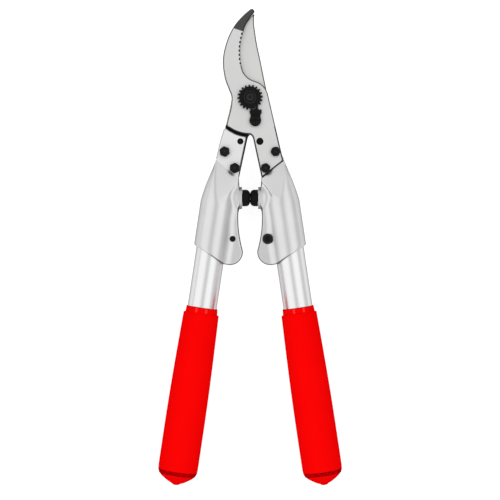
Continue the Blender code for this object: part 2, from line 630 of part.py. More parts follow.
web_half = SOCKET_RADIUS * WEB_SHARE
side_line = [on_handle(SHOULDER_DISTANCE, -SOCKET_TOP_RADIUS * SHOULDER_SHARE),
             on_handle(SOCKET_FULL, -web_half)]
lug_arc = arc((0, 0), LUG_RADIUS, LUG_INNER_ANGLE, LUG_CORNER_ANGLE, 10)
lug_corner = arc((0, 0), LUG_RADIUS + LUG_CORNER_RISE, LUG_CORNER_ANGLE, LUG_CORNER_ANGLE, 1)[:1]
web_outline = (lug_arc + lug_corner + list(LUG_OUTER) + side_line + [on_handle(SOCKET_END_OUTER, -web_half)]
               + ear + smooth(ear_inner, 2) + [LUG_INNER_TOP])
left_bracket = flat("left_bracket", web_outline, -PLATE_FACE, PLATE_FACE, left_side, alloy, BRACKET_CHAMFER)
ear_edge = smooth([beside_tube(*point) for point in EAR_INNER], 2)
ear_outline = ([on_handle(EAR_TOP, 0), on_handle(SOCKET_END_OUTER, 0)] + ear + ear_edge
               + [(ear_edge[-1][0], BUMPER_Y)])
boolean(left_bracket, flat("bracket_ears", ear_outline, -EAR_FACE, EAR_FACE, left_side, None, BRACKET_CHAMFER,
                           cutters), "UNION")


def socket_radius(distance):
    """Outer radius of the socket: a shoulder that rises to the full radius, then a plain cylinder."""
    share = min(1.0, (distance - SOCKET_TOP) / (SOCKET_FULL - SOCKET_TOP))
    return SOCKET_TOP_RADIUS + (SOCKET_RADIUS - SOCKET_TOP_RADIUS) * (1 - (1 - share) ** SOCKET_BLEND)


stations = [SOCKET_TOP + (SOCKET_FULL - SOCKET_TOP) * i / 9 for i in range(10)]
socket_low = SOCKET_END_OUTER + 4 * EAR_LOBE_RADIUS
socket = turned("bracket_socket",
                [(0, -SOCKET_TOP)] + [(socket_radius(s), -s) for s in stations]
                + [(SOCKET_RADIUS, -socket_low), (0, -socket_low)],
                left_handle, steps=ROUND, collection=cutters)

cut_reach = 4 * SOCKET_RADIUS
end_line = Vector((math.cos(tangent), math.sin(tangent)))
end_down = Vector((math.sin(tangent), -math.cos(tangent)))
below_end = [bottom_corner + end_line * x + end_down * y
             for x, y in ((-cut_reach, 0), (2 * cut_reach, 0), (2 * cut_reach, 2 * cut_reach),
                          (-cut_reach, 2 * cut_reach))]
boolean(socket, flat("bracket_end_cut", below_end, -cut_reach, cut_reach, left_side, collection=cutters))

# Everything above blade level stays under two planes that rise from the tang's diagonal end
along_end = TANG_END.normalized()
away_from_blade = Vector((along_end.y, -along_end.x))
end_middle = (Vector(TANG_OUTER_END) + Vector(TANG_INNER_END)) / 2
ramp_start = [Vector(p) - away_from_blade * SOCKET_WALL
              for p in (TANG_OUTER_END, Vector(TANG_INNER_END) - along_end * RAMP_INSET)]
ramp_block = flat("bracket_ramp", [*ramp_start, *RAMP_INNER], -SOCKET_RADIUS * 0.98, SOCKET_RADIUS * 0.98,
                  left_side, collection=cutters)
boolean(socket, ramp_block, "UNION")
along_angle = math.atan2(along_end.y, along_end.x)
ramp_lean = math.atan(RAMP_SLOPE)
ramp_level = PLATE_FACE + RAMP_STEP
for face, level, lean in (("front", ramp_level, -ramp_lean), ("back", -ramp_level, math.pi + ramp_lean)):
    over = box(f"ramp_plane_{face}", (-cut_reach, -cut_reach, 0), (cut_reach, cut_reach, cut_reach),
               left_side)
    over.location = (end_middle.x, end_middle.y, level)
    over.rotation_euler = (lean, 0, along_angle)
    boolean(socket, over)
boolean(left_bracket, socket, "UNION")

# Blade level: the lug's own face in front, the tang's recess behind
half_plane = [end_middle + along_end * x + away_from_blade * y
              for x, y in ((-cut_reach, 0), (cut_reach, 0),
                           (cut_reach, -cut_reach), (-cut_reach, -cut_reach))]
lug_top = flat("lug_face_cut", half_plane, LUG_FACE, cut_reach, left_side, collection=cutters)
recess_plane = [point + away_from_blade * SEAT_GAP for point in half_plane]
recess = flat("tang_recess", recess_plane, -cut_reach, PLATE_LEVEL, left_side, collection=cutters)
boolean(left_bracket, lug_top)
boolean(left_bracket, recess)

# Bumper boss, turned about an axis along X
boss = turned("bumper_boss", [
    (0, 0), (BOSS_DIAMETER / 2, 0), (BOSS_DIAMETER / 2, -BOSS_RIM),
    (BOSS_ROOT_DIAMETER / 2, -BOSS_LENGTH), (0, -BOSS_LENGTH)], left_side, steps=32, collection=cutters)
boss.location = (BUMPER_SEAT_X - SEAT_GAP, BUMPER_Y, 0)
boss.rotation_euler = (0, math.pi / 2, 0)
boolean(left_bracket, boss, "UNION")

pocket_depth = BUMPER_STEM_LENGTH + SEAT_GAP
pocket = rod("bumper_pocket", BUMPER_STEM_DIAMETER / 2 + HOLE_CLEARANCE, -pocket_depth, BOSS_RIM, (0, 0),
             left_side)
pocket.location = (BUMPER_SEAT_X - SEAT_GAP, BUMPER_Y, 0)
pocket.rotation_euler = (0, math.pi / 2, 0)
boolean(left_bracket, pocket)

bore = rod("tube_bore", TUBE_DIAMETER / 2 + SEAT_GAP, -socket_low * 2, -TUBE_SEAT, (0, 0), left_handle, ROUND)
boolean(left_bracket, bore)
saw_from = on_handle(SOCKET_END_OUTER, 0)
saw = box("saw_slot", (saw_from.x, saw_from.y - cut_reach, -SAW_SLOT / 2), (0, SAW_SLOT_TOP_Y, SAW_SLOT / 2),
          left_side)
boolean(left_bracket, saw)

for key, at in BLADE_BOLTS.items():
    boolean(left_bracket, rod(f"lug_bolt_hole_{key}", BLADE_BOLT_DIAMETER / 2 + HOLE_CLEARANCE,
                              -PLATE_FACE, 2 * PLATE_FACE, at, left_side))
boolean(left_bracket, rod("lug_pin_hole", PIN_LUG_DIAMETER / 2 + HOLE_CLEARANCE, -PLATE_FACE, 2 * PLATE_FACE,
                          PIN_AT, left_side))
clamp_sink = EAR_FACE - CLAMP_HEAD_HEIGHT / 2
boolean(left_bracket, rod("clamp_hole", CLAMP_SHANK_DIAMETER / 2 + HOLE_CLEARANCE, -cut_reach, cut_reach,
                          clamp_at, left_side))
boolean(left_bracket, rod("clamp_head_sink", CLAMP_HEAD_DIAMETER / 2 + HOLE_CLEARANCE,
                          -cut_reach, -clamp_sink, clamp_at, left_side, 28))
copy_right(left_bracket)


# Fasteners of each side

def hexagon(name, low, high, worn_end, at):
    """A hexagonal head or nut body on the left side, its corners turned down at its worn end."""
    across_corners = HEX_ACROSS_FLATS / math.cos(math.pi / 6)
    body = rod(name, across_corners / 2, low, high, at, left_side, 6, parts, blacked)
    full = across_corners / 2 + SEAT_GAP
    worn = HEX_CHAMFER_DIAMETER / 2
    fall = (full - worn) * math.tan(HEX_CHAMFER_ANGLE)
    if worn_end == high:
        profile = [(0, high), (worn, high), (full, high - fall), (full, low), (0, low)]
    else:
        profile = [(0, high), (full, high), (full, low + fall), (worn, low), (0, low)]
    turning = turned(name + "_turning", profile, left_side, steps=24, collection=cutters)
    turning.location = (*at, 0)
    return boolean(body, turning, "INTERSECT")


head_low = LUG_FACE + SEAT_GAP
head_high = head_low + HEX_HEAD_HEIGHT
nut_high = -PLATE_FACE - SEAT_GAP
nut_low = nut_high - HEX_NUT_HEIGHT
for key, at in BLADE_BOLTS.items():
    bolt = hexagon(f"left_blade_bolt_{key}", head_low, head_high, head_high, at)
    boolean(bolt, rod(f"bolt_shank_{key}", BLADE_BOLT_DIAMETER / 2, nut_low - BLADE_BOLT_STAND_OUT,
                      (head_low + head_high) / 2, at, left_side), "UNION")
    nut = hexagon(f"left_blade_nut_{key}", nut_low, nut_high, nut_low, at)
    boolean(nut, rod(f"nut_bore_{key}", BLADE_BOLT_DIAMETER / 2 + HOLE_CLEARANCE, nut_low - HEX_NUT_HEIGHT,
                     nut_high + HEX_NUT_HEIGHT, at, left_side))
    copy_right(bolt)
    copy_right(nut)

left_pin = turned("left_locating_pin", [
    (0, LUG_FACE), (PIN_LUG_DIAMETER / 2, LUG_FACE), (PIN_LUG_DIAMETER / 2, -PLATE_LEVEL),
    (PIN_TANG_DIAMETER / 2, -PLATE_LEVEL), (PIN_TANG_DIAMETER / 2, -PLATE_FACE),
    (PIN_SOCKET_DIAMETER / 2, -PLATE_FACE), (PIN_SOCKET_DIAMETER / 2, -PLATE_FACE + PIN_SOCKET_DEPTH),
    (0, -PLATE_FACE + PIN_SOCKET_DEPTH)], left_side, blacked)
left_pin.location = (*PIN_AT, 0)
copy_right(left_pin)

clamp_head_top = -clamp_sink - SEAT_GAP
clamp_head_end = clamp_head_top - CLAMP_HEAD_HEIGHT
clamp_screw = turned("left_clamp_screw", [
    (0, EAR_FACE), (CLAMP_SHANK_DIAMETER / 2, EAR_FACE), (CLAMP_SHANK_DIAMETER / 2, clamp_head_top),
    (CLAMP_HEAD_DIAMETER / 2, clamp_head_top), (CLAMP_HEAD_DIAMETER / 2, clamp_head_end + SEAT_GAP),
    (CLAMP_HEAD_DIAMETER / 2 - SEAT_GAP, clamp_head_end), (CLAMP_SOCKET_DIAMETER / 2, clamp_head_end),
    (CLAMP_SOCKET_DIAMETER / 2, clamp_head_end + CLAMP_SOCKET_DEPTH),
    (0, clamp_head_end + CLAMP_SOCKET_DEPTH)], left_side, blacked, 20)
clamp_screw.location = (*clamp_at, 0)
copy_right(clamp_screw)


# Rubber bumper: a dome with a flattened nose, on a stem in the boss

nose_r = BUMPER_TIP_DIAMETER / 2
body_r = BUMPER_DIAMETER / 2
dome = [(nose_r + (body_r - nose_r) * math.sin(a),
         BUMPER_STRAIGHT + (BUMPER_LENGTH - BUMPER_STRAIGHT) * math.cos(a))
        for a in (math.pi / 2 * i / 4 for i in range(5))]
left_bumper = turned("left_bumper", [(0, BUMPER_LENGTH)] + dome + [
    (body_r, 0), (BUMPER_STEM_DIAMETER / 2, 0), (BUMPER_STEM_DIAMETER / 2, -BUMPER_STEM_LENGTH),
    (0, -BUMPER_STEM_LENGTH)], left_side, rubber, 20)
left_bumper.location = (BUMPER_SEAT_X, BUMPER_Y, 0)
left_bumper.rotation_euler = (0, math.pi / 2, 0)
copy_right(left_bumper)


# Tube and grip, turned about the handle axis

tube_r = TUBE_DIAMETER / 2
tube_top = -TUBE_SEAT - SEAT_GAP
tube_low = -(GRIP_TOP + GRIP_LENGTH - GRIP_END_WALL)
left_tube = turned("left_tube", [
    (tube_r - TUBE_WALL, tube_top), (tube_r, tube_top), (tube_r, tube_low), (tube_r - TUBE_WALL, tube_low)],
    left_handle, tube_alloy, ROUND, closed=True)
copy_right(left_tube)


def grip_radius(depth):
    """Outer radius of the grip below its collar: it swells along a quarter sine to the full size."""
    share = min(1.0, depth / GRIP_SWELL_LENGTH)
    return (GRIP_NECK_DIAMETER + (GRIP_DIAMETER - GRIP_NECK_DIAMETER) * math.sin(share * math.pi / 2)) / 2


bore_r = tube_r + SEAT_GAP
collar_r = GRIP_COLLAR_DIAMETER / 2
grip_r = GRIP_DIAMETER / 2
depths = [GRIP_COLLAR_LENGTH + (GRIP_SWELL_LENGTH - GRIP_COLLAR_LENGTH) * i / 4 for i in range(5)]
end_top = GRIP_LENGTH - GRIP_END_LENGTH
end_shape = ((1.0, 0.0), (0.97, 0.14), (0.83, 0.32), (0.58, 0.60), (0.30, 0.86), (0.10, 0.98), (0.0, 1.0))
floor = tube_low + GRIP_TOP - SEAT_GAP
profile = [(0, floor), (bore_r, floor), (bore_r, 0)]
profile += [(collar_r - SEAT_GAP, 0), (collar_r, -SEAT_GAP), (collar_r, -GRIP_COLLAR_LENGTH)]
profile += [(grip_radius(d), -d) for d in depths]
profile += [(grip_r * share, -end_top - GRIP_END_LENGTH * fall) for share, fall in end_shape]
left_grip = turned("left_grip", profile, left_handle, vinyl, 36)
left_grip.location = (0, 0, -GRIP_TOP)
copy_right(left_grip)
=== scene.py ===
"""The lopper as it looks: ground blades, blacked fasteners, satin castings, bright tubes, red grips."""
import json
import math

import bpy
import numpy as np
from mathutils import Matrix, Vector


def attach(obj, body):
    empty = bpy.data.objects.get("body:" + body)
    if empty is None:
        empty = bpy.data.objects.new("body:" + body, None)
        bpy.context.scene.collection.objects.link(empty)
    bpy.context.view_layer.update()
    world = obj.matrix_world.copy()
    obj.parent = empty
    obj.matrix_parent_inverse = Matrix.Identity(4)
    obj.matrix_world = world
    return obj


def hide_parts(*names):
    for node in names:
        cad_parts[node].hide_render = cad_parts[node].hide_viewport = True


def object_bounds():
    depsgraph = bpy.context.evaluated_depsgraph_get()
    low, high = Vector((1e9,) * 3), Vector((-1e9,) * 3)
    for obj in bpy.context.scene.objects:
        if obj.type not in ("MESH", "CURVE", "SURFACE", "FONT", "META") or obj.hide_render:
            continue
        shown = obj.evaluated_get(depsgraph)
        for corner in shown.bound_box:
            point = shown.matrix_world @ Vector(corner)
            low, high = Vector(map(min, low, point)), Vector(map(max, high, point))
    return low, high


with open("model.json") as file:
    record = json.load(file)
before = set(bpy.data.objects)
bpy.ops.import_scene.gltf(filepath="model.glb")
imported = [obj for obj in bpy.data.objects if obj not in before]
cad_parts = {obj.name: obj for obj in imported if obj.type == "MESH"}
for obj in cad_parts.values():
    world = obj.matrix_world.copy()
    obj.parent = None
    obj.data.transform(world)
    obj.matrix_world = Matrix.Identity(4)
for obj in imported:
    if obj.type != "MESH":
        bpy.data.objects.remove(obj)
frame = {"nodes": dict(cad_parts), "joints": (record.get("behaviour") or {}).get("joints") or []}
cad_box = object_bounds()


# Pivot
# An M8 pivot bolt of oil-blacked steel, keyed in the hook, under a toothed nut that sets the blades' play.
# Its thread is rolled, the nut's and the lock segment's teeth are stamped and tumbled, so no edge is sharp.
PIVOT_Z = frame["joints"][0]["pos_m"][2]
LEVEL = 0.00015                # half the gap between the two shearing faces
PLATE_FACE = LEVEL + 0.005     # the blades' outer faces
SEAT_GAP = 0.0003              # between parts that seat on each other
WASHER_THICKNESS = 0.001
NUT_SEAT = PLATE_FACE + SEAT_GAP        # from the shear plane to the nut's back
NUT_THICKNESS = 0.0042
NUT_TEETH = 20
NUT_TIP_RADIUS = 0.01065
NUT_ROOT_RADIUS = 0.00915
NUT_TOOTH_SHARES = (0.30, 0.16)
NUT_COLLAR_RADIUS = 0.00485
NUT_COLLAR_HEIGHT = 0.0007
NUT_FALL_FROM, NUT_FALL = 0.0078, 55     # beyond this radius the face falls by this times the square
NUT_STEP, SEGMENT_STEP, LOCK_STEP = 0.00021, 0.00018, 0.00013     # cells of their meshes
BOLT_STAND_OUT = 0.0008
M8_RADIUS, M8_PITCH, M8_DEPTH = 0.0040, 0.00125, 0.0006
BEARING_RADIUS, BEARING_HALF_FLATS = 0.0060, 0.0050
BOLT_HEAD_RADIUS = 0.0100
BOLT_DISH = 0.0003             # how far the head's back is hollowed
THREAD_PLAY = 0.00012          # between a nut's bore and its thread
ROUND_SIDES = 96
SEGMENT_ANGLE = math.radians(-77.4)
SEGMENT_TOOTH_SHARES = (0.26, 0.11)
SEGMENT_THICKNESS = 0.0030
SEGMENT_END_RADIUS = 0.0046
TOOTH_PLAY = 0.00025
LOCK_DISTANCE = 0.0198
LOCK_HEAD_RADIUS = 0.0050
LOCK_HEAD_HEIGHT = 0.0026
LOCK_DOME_RISE = 0.0017
LOCK_SHANK_RADIUS, LOCK_HOLE_RADIUS = 0.0025, 0.0027
LOCK_SLOT_WIDTH = 0.0012
LOCK_SLOT_DEPTH = 0.0011
LOCK_SLOT_ANGLE = math.radians(-6)
OIL_BLACK = (0.0030, 0.0030, 0.0033)
BOLT_BLACK = (0.0055, 0.0055, 0.0060)
# painted highlight: the paler grey that the blacked parts' rings take
GLINT_GREY = (0.06, 0.06, 0.06)


def shader_node(tree, kind, feeds=(), **settings):
    """A shader node with its settings; feeds maps its inputs to values or to other nodes' outputs."""
    made = tree.nodes.new(kind)
    for key, value in settings.items():
        setattr(made, key, value)
    for key, value in dict(feeds).items():
        if isinstance(value, bpy.types.NodeSocket):
            tree.links.new(value, made.inputs[key])
        else:
            made.inputs[key].default_value = value
    return made


def maths(tree, operation, a, b=0.0):
    """The result of one Math node on two values or outputs."""
    return shader_node(tree, "ShaderNodeMath", {0: a, 1: b}, operation=operation).outputs[0]


def blend_colours(tree, share, low, high):
    """The colour that lies between two colours by a share."""
    mix = shader_node(tree, "ShaderNodeMix", {0: share}, data_type="RGBA")
    for socket, colour in ((mix.inputs[6], low), (mix.inputs[7], high)):
        if isinstance(colour, bpy.types.NodeSocket):
            tree.links.new(colour, socket)
        else:
            socket.default_value = (*colour, 1)
    return mix.outputs[2]


def spread(tree, value, low, high, from_low=0.3, from_high=0.7):
    """A value carried from one range, by default that of a noise, to another, held at its ends."""
    feeds = {"Value": value, "From Min": from_low, "From Max": from_high, "To Min": low, "To Max": high}
    return shader_node(tree, "ShaderNodeMapRange", feeds, clamp=True).outputs["Result"]


def new_group(name, inputs, outputs):
    """An empty shader node group with float or vector sockets; gives its tree, inputs and output node."""
    tree = bpy.data.node_groups.new(name, "ShaderNodeTree")
    for label, kind, value in inputs:
        socket = tree.interface.new_socket(label, in_out="INPUT", socket_type=kind)
        if value is not None:
            socket.default_value = value
    for label in outputs:
        tree.interface.new_socket(label, in_out="OUTPUT", socket_type="NodeSocketFloat")
    entry = tree.nodes.new("NodeGroupInput")
    leave = tree.nodes.new("NodeGroupOutput")
    return tree, entry.outputs, leave


# Grain: two octaves of noise, one as fine as a grinding or blasting mark and one as broad as a finger
grain, grain_in, grain_out = new_group(
    "fine_grain",
    [("Vector", "NodeSocketVector", None), ("Fine", "NodeSocketFloat", 2500.0),
     ("Broad", "NodeSocketFloat", 60.0)],
    ["Speckle", "Mottle"])
for label, scale, detail in (("Speckle", "Fine", 3.0), ("Mottle", "Broad", 2.0)):
    noise = shader_node(grain, "ShaderNodeTexNoise",
                        {"Vector": grain_in["Vector"], "Scale": grain_in[scale], "Detail": detail})
    grain.links.new(noise.outputs["Fac"], grain_out.inputs[label])


def finish(name, colour, roughness, metallic, specular=0.5, grazing=1.0):
    """A new material with its plain values set on its own Principled shader.

    grazing is what is left of a metal's reflection where it is seen nearly edge on.
    """
    material = bpy.data.materials.new(name)
    material.use_nodes = True
    material.diffuse_color = (*colour, 1)
    shader = material.node_tree.nodes["Principled BSDF"]
    shader.inputs["Base Color"].default_value = (*colour, 1)
    shader.inputs["Roughness"].default_value = roughness
    shader.inputs["Metallic"].default_value = metallic
    shader.inputs["Specular IOR Level"].default_value = specular
    shader.inputs["Specular Tint"].default_value = (grazing, grazing, grazing, 1)
    return material, material.node_tree, shader


def use_group(tree, group, feeds):
    """A node group placed in a material, fed with object coordinates."""
    place = shader_node(tree, "ShaderNodeTexCoord")
    made = shader_node(tree, "ShaderNodeGroup", node_tree=group)
    tree.links.new(place.outputs["Object"], made.inputs["Vector"])
    for key, value in feeds.items():
        made.inputs[key].default_value = value
    return made.outputs


def bump(tree, shader, height, distance, strength=1.0):
    """Feed a height into the shader's normal."""
    feeds = {"Height": height, "Distance": distance, "Strength": strength}
    relief = shader_node(tree, "ShaderNodeBump", feeds)
    tree.links.new(relief.outputs["Normal"], shader.inputs["Normal"])


def grained(tree, shader, fine, broad, rough, relief):
    """Fine grain in a material's roughness and relief; gives the grain's outputs for its colour."""
    grains = use_group(tree, grain, {"Fine": fine, "Broad": broad})
    tree.links.new(spread(tree, grains["Speckle"], *rough), shader.inputs["Roughness"])
    bump(tree, shader, grains["Speckle"], *relief)
    return grains


def painted(tree, label):
    """The value of a mark that the mesh carries on its points."""
    return shader_node(tree, "ShaderNodeAttribute", attribute_name=label).outputs["Fac"]


def blacked_finish(name, colour):
    """Oil-blacked steel: nearly black, a soft low gloss, with a fine tumbled grain and paler rings as painted
    highlights.
    """
    material, tree, shader = finish(name, colour, 0.30, 0.0, 0.13)
    grains = grained(tree, shader, 3200.0, 240.0, (0.22, 0.40), (0.00002, 0.4))
    tint = blend_colours(tree, grains["Mottle"], [c * 0.6 for c in colour], [c * 1.9 for c in colour])
    # Paler rings on the blacked parts are painted highlights.
    tree.links.new(blend_colours(tree, painted(tree, "worn"), tint, GLINT_GREY), shader.inputs["Base Color"])
    return material


blacked = blacked_finish("oil_blacked_steel", OIL_BLACK)
bolt_black = blacked_finish("blacked_bolt_steel", BOLT_BLACK)


def signed_volume(points, faces):
    """A sixth of the sum of each face fan's corner products: positive when faces point outwards."""
    total = 0.0
    for corners in faces:
        for k in range(1, corners.shape[1] - 1):
            a, b, c = points[corners[:, 0]], points[corners[:, k]], points[corners[:, k + 1]]
            total += np.einsum("ij,ij->", a, np.cross(b, c)) / 6
    return total


def glint_rings(points, at, rings):
    """Paler rings round an upright axis, painted highlights: full over half of each ring's width, and none
    outside it.

    A ring is the radius of its middle, half its width and its share of the highlight's colour.
    """
    reach = np.hypot(points[:, 0] - at[0], points[:, 1] - at[1])
    worn = np.zeros(len(points))
    for middle, half, share in rings:
        worn += share * np.clip((half - np.abs(reach - middle)) / half * 2, 0, 1)
    return worn


def piece(name, points, faces, material, body, nodes, marks=()):
    """A smooth-shaded mesh at the origin that rides on its body in place of its CAD nodes.

    faces is a list of arrays, each with one count of corners; marks maps the names of the mesh's marks
    to a value for each point.
    """
    if signed_volume(points, faces) < 0:
        faces = [corners[:, ::-1] for corners in faces]
    counts = np.concatenate([np.full(len(corners), corners.shape[1]) for corners in faces])
    loops = np.concatenate([corners.ravel() for corners in faces])
    mesh = bpy.data.meshes.new(name)
    mesh.vertices.add(len(points))
    mesh.vertices.foreach_set("co", points.astype(np.float32).ravel())
    mesh.loops.add(len(loops))
    mesh.loops.foreach_set("vertex_index", loops.astype(np.int32))
    mesh.polygons.add(len(counts))
    mesh.polygons.foreach_set("loop_start", (np.cumsum(counts) - counts).astype(np.int32))
    mesh.update(calc_edges=True)
    mesh.shade_smooth()
    for label, values in dict(marks).items():
        mesh.attributes.new(label, "FLOAT", "POINT").data.foreach_set("value", values.astype(np.float32))
    mesh.materials.append(material)
    made = bpy.data.objects.new(name, mesh)
    bpy.context.scene.collection.objects.link(made)
    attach(made, body)
    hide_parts(*nodes)
    return made


def spun(radius, height, origin, axis, across):
    """Points and faces of a skin round an axis: origin + axis * height + radius * (across cos a + up sin a).

    radius is an array of rows by sides, height has one value a row, and a first or last row of no radius
    is drawn as one point, closed by a fan.
    """
    axis, across = np.array(axis, float), np.array(across, float)
    up = np.cross(axis, across)
    rows, sides = radius.shape
    angle = np.linspace(0, 2 * np.pi, sides, endpoint=False)[None, :, None]
    ring = across * np.cos(angle) + up * np.sin(angle)
    points = np.array(origin, float) + axis * height[:, None, None] + ring * radius[:, :, None]
    number = np.arange(rows * sides).reshape(rows, sides)
    faces = []
    first = 1 if radius[0].max() == 0 else 0
    last = rows - 1 if radius[-1].max() == 0 else rows
    body = number[first:last]
    right = np.roll(body, -1, axis=1)
    faces.append(np.stack([body[:-1], right[:-1], right[1:], body[1:]], -1).reshape(-1, 4))
    if first:
        pole = np.full(sides, number[0, 0])
        faces.append(np.stack([pole, np.roll(number[1], -1), number[1]], -1))
    if last < rows:
        pole = np.full(sides, number[-1, 0])
        faces.append(np.stack([pole, number[-2], np.roll(number[-2], -1)], -1))
    if not first and last == rows:
        after = np.roll(number[0], -1)
        before = np.roll(number[-1], -1)
        faces.append(np.stack([number[-1], before, after, number[0]], -1))
    used, faces = drop_unused(faces)
    return points.reshape(-1, 3)[used], faces


def drop_unused(faces):
    """The sorted point numbers that the faces use, and the faces in the new numbers."""
    used = np.unique(np.concatenate([corners.ravel() for corners in faces]))
    return used, [np.searchsorted(used, corners) for corners in faces]


def eased(corners, steps=5):
    """A line through (x, y, ease) corners, each turned into a parabola over that ease along both its sides.

    A point is added just outside each ease, so that flat stretches keep their shading flat.
    """
    line = [np.array(corners[0][:2])]
    share = np.linspace(0, 1, steps)[:, None]
    for before, corner, after in zip(corners, corners[1:], corners[2:]):
        at = np.array(corner[:2])
        back, on = np.array(before[:2]) - at, np.array(after[:2]) - at
        back_length, on_length = np.linalg.norm(back), np.linalg.norm(on)
        ease = corner[2]
        if ease == 0:
            line.append(at)
            continue
        start, stop = at + back * ease / back_length, at + on * ease / on_length
        if 1.4 * ease < back_length:
            line.append(at + back * 1.3 * ease / back_length)
        line.extend((1 - share) ** 2 * start + 2 * share * (1 - share) * at + share ** 2 * stop)
        if 1.4 * ease < on_length:
            line.append(at + on * 1.3 * ease / on_length)
    line.append(np.array(corners[-1][:2]))
    return np.array(line)


def threaded(radius, height, sides, pitch, depth, low, high):
    """Rows of radius cut by a helix: depth times a triangle wave of height / pitch + angle / turn."""
    angle = np.linspace(0, 1, sides, endpoint=False)
    wave = np.abs(((height[:, None] / pitch + angle) % 1) * 2 - 1)
    cut = (height[:, None] > low) & (height[:, None] < high) & (radius[:, None] > depth * 2)
    return radius[:, None] - depth * wave * cut


def fill_rows(line, longest):
    """A profile with points added so that no two neighbours are further apart than the given length."""
    gaps = np.linalg.norm(np.diff(line, axis=0), axis=1)
    counts = np.maximum(1, np.ceil(gaps / longest).astype(int))
    filled = [a + (b - a) * np.linspace(0, 1, n, endpoint=False)[:, None]
              for a, b, n in zip(line, line[1:], counts)]
    return np.concatenate(filled + [line[-1:]])


def join(a, b, reach):
    """The smaller of two distances, eased over a reach: two forms run together in a fillet."""
    share = np.clip(0.5 + 0.5 * (b - a) / reach, 0, 1)
    return b + (a - b) * share - reach * share * (1 - share)


def keep(a, b, reach):
    """The larger of two distances, eased over a reach: what lies in both forms, its edge rounded."""
    return -join(-a, -b, reach)


def outline_distance(x, y, outline):
    """Signed distance in plan to a closed outline: the least distance to a side, negative inside.

    A point is inside where a line from it to the right crosses an odd number of sides.
    """
    px, py = x[..., None], y[..., None]
    (ax, ay), (bx, by) = outline.T, np.roll(outline, -1, axis=0).T
    side_x, side_y = bx - ax, by - ay
    along = ((px - ax) * side_x + (py - ay) * side_y) / (side_x ** 2 + side_y ** 2)
    along = np.clip(along, 0, 1)
    distance = np.sqrt(((px - ax - along * side_x) ** 2 + (py - ay - along * side_y) ** 2).min(-1))
    with np.errstate(divide="ignore", invalid="ignore"):
        crossed = ((ay > py) != (by > py)) & (px < side_x * (py - ay) / side_y + ax)
    return np.where(crossed.sum(-1) % 2 == 1, -distance, distance)


def skin(form, low, high, step):
    """The surface where a form's distance is zero, as a net of quads, one point in each cell that it crosses.

    Each point is the mean of the crossings on its cell's twelve sides, then moves twice down the
    distance's slope: point - distance * slope / slope squared.
    """
    axes = [np.arange(a - 1.5 * step, b + 2.5 * step, step) for a, b in zip(low, high)]
    value = form(*np.meshgrid(*axes, indexing="ij", sparse=True))
    inside = value < 0
    cells = tuple(n - 1 for n in value.shape)
    total, count = np.zeros((3, *cells)), np.zeros(cells)
    crossings = []
    for axis in range(3):
        near = np.moveaxis(value, axis, 0)[:-1]
        far = np.moveaxis(value, axis, 0)[1:]
        crossing = (near < 0) != (far < 0)
        share = np.where(crossing, near / np.where(crossing, near - far, 1), 0)
        crossing, share = np.moveaxis(crossing, 0, axis), np.moveaxis(share, 0, axis)
        crossings.append(crossing)
        others = [k for k in range(3) if k != axis]
        for shift in ((0, 0), (0, 1), (1, 0), (1, 1)):
            window = [slice(None)] * 3
            for other, offset in zip(others, shift):
                window[other] = slice(offset, cells[other] + offset)
            here = crossing[tuple(window)]
            count += here
            total[axis] += share[tuple(window)]
            for other, offset in zip(others, shift):
                total[other] += offset * here
    active = count > 0
    number = np.cumsum(active).reshape(cells) - 1
    spot = np.argwhere(active) + (total[:, active] / count[active]).T
    points = np.array([axis[0] for axis in axes]) + spot * step
    quads = []
    for axis in range(3):
        b, c = (axis + 1) % 3, (axis + 2) % 3
        at = np.argwhere(crossings[axis])
        at = at[(at[:, b] > 0) & (at[:, b] < cells[b]) & (at[:, c] > 0) & (at[:, c] < cells[c])]
        corners = []
        for back_b, back_c in ((1, 1), (0, 1), (0, 0), (1, 0)):
            cell = at.copy()
            cell[:, b] -= back_b
            cell[:, c] -= back_c
            corners.append(number[tuple(cell.T)])
        quad = np.stack(corners, -1)
        outwards = inside[tuple(at.T)]
        quads.append(np.where(outwards[:, None], quad, quad[:, ::-1]))
    for _ in range(2):
        points = points - settle(form, points, step * 0.2)
    return points, [np.concatenate(quads)]


def slope_of(form, points, reach):
    """The form's slope at points, by central differences over a reach."""
    slope = np.empty_like(points)
    for axis in range(3):
        ahead, behind = points.copy(), points.copy()
        ahead[:, axis] += reach
        behind[:, axis] -= reach
        slope[:, axis] = (form(*ahead.T) - form(*behind.T)) / (2 * reach)
    return slope


def settle(form, points, reach):
    """The step that carries points onto the form: distance * slope / slope squared, at most two reaches."""
    slope = slope_of(form, points, reach)
    square = np.maximum((slope ** 2).sum(1), 0.2)
    step = form(*points.T) / square
    return np.clip(step, -2 * reach, 2 * reach)[:, None] * slope


def toothed(count, middle, root, tip, shares):
    """Flat-topped teeth round the pivot as an outline: each has its root and tip half widths in pitches."""
    pitch = 2 * math.pi / NUT_TEETH
    teeth = middle + (np.arange(count) - (count - 1) / 2) * pitch
    angle = (teeth[:, None] + np.array([-shares[0], -shares[1], shares[1], shares[0]]) * pitch).ravel()
    radius = np.tile([root, tip, tip, root], count)
    return np.stack([radius * np.cos(angle), radius * np.sin(angle)], -1)


def arc(centre, radius, start, stop, steps):
    """Points on a circle from one angle to another."""
    angle = np.linspace(start, stop, steps)
    return np.stack([centre[0] + radius * np.cos(angle), centre[1] + radius * np.sin(angle)], -1)


nut_low = PIVOT_Z + NUT_SEAT
nut_high = nut_low + NUT_THICKNESS
nut_outline = toothed(NUT_TEETH, SEGMENT_ANGLE, NUT_ROOT_RADIUS, NUT_TIP_RADIUS, NUT_TOOTH_SHARES)


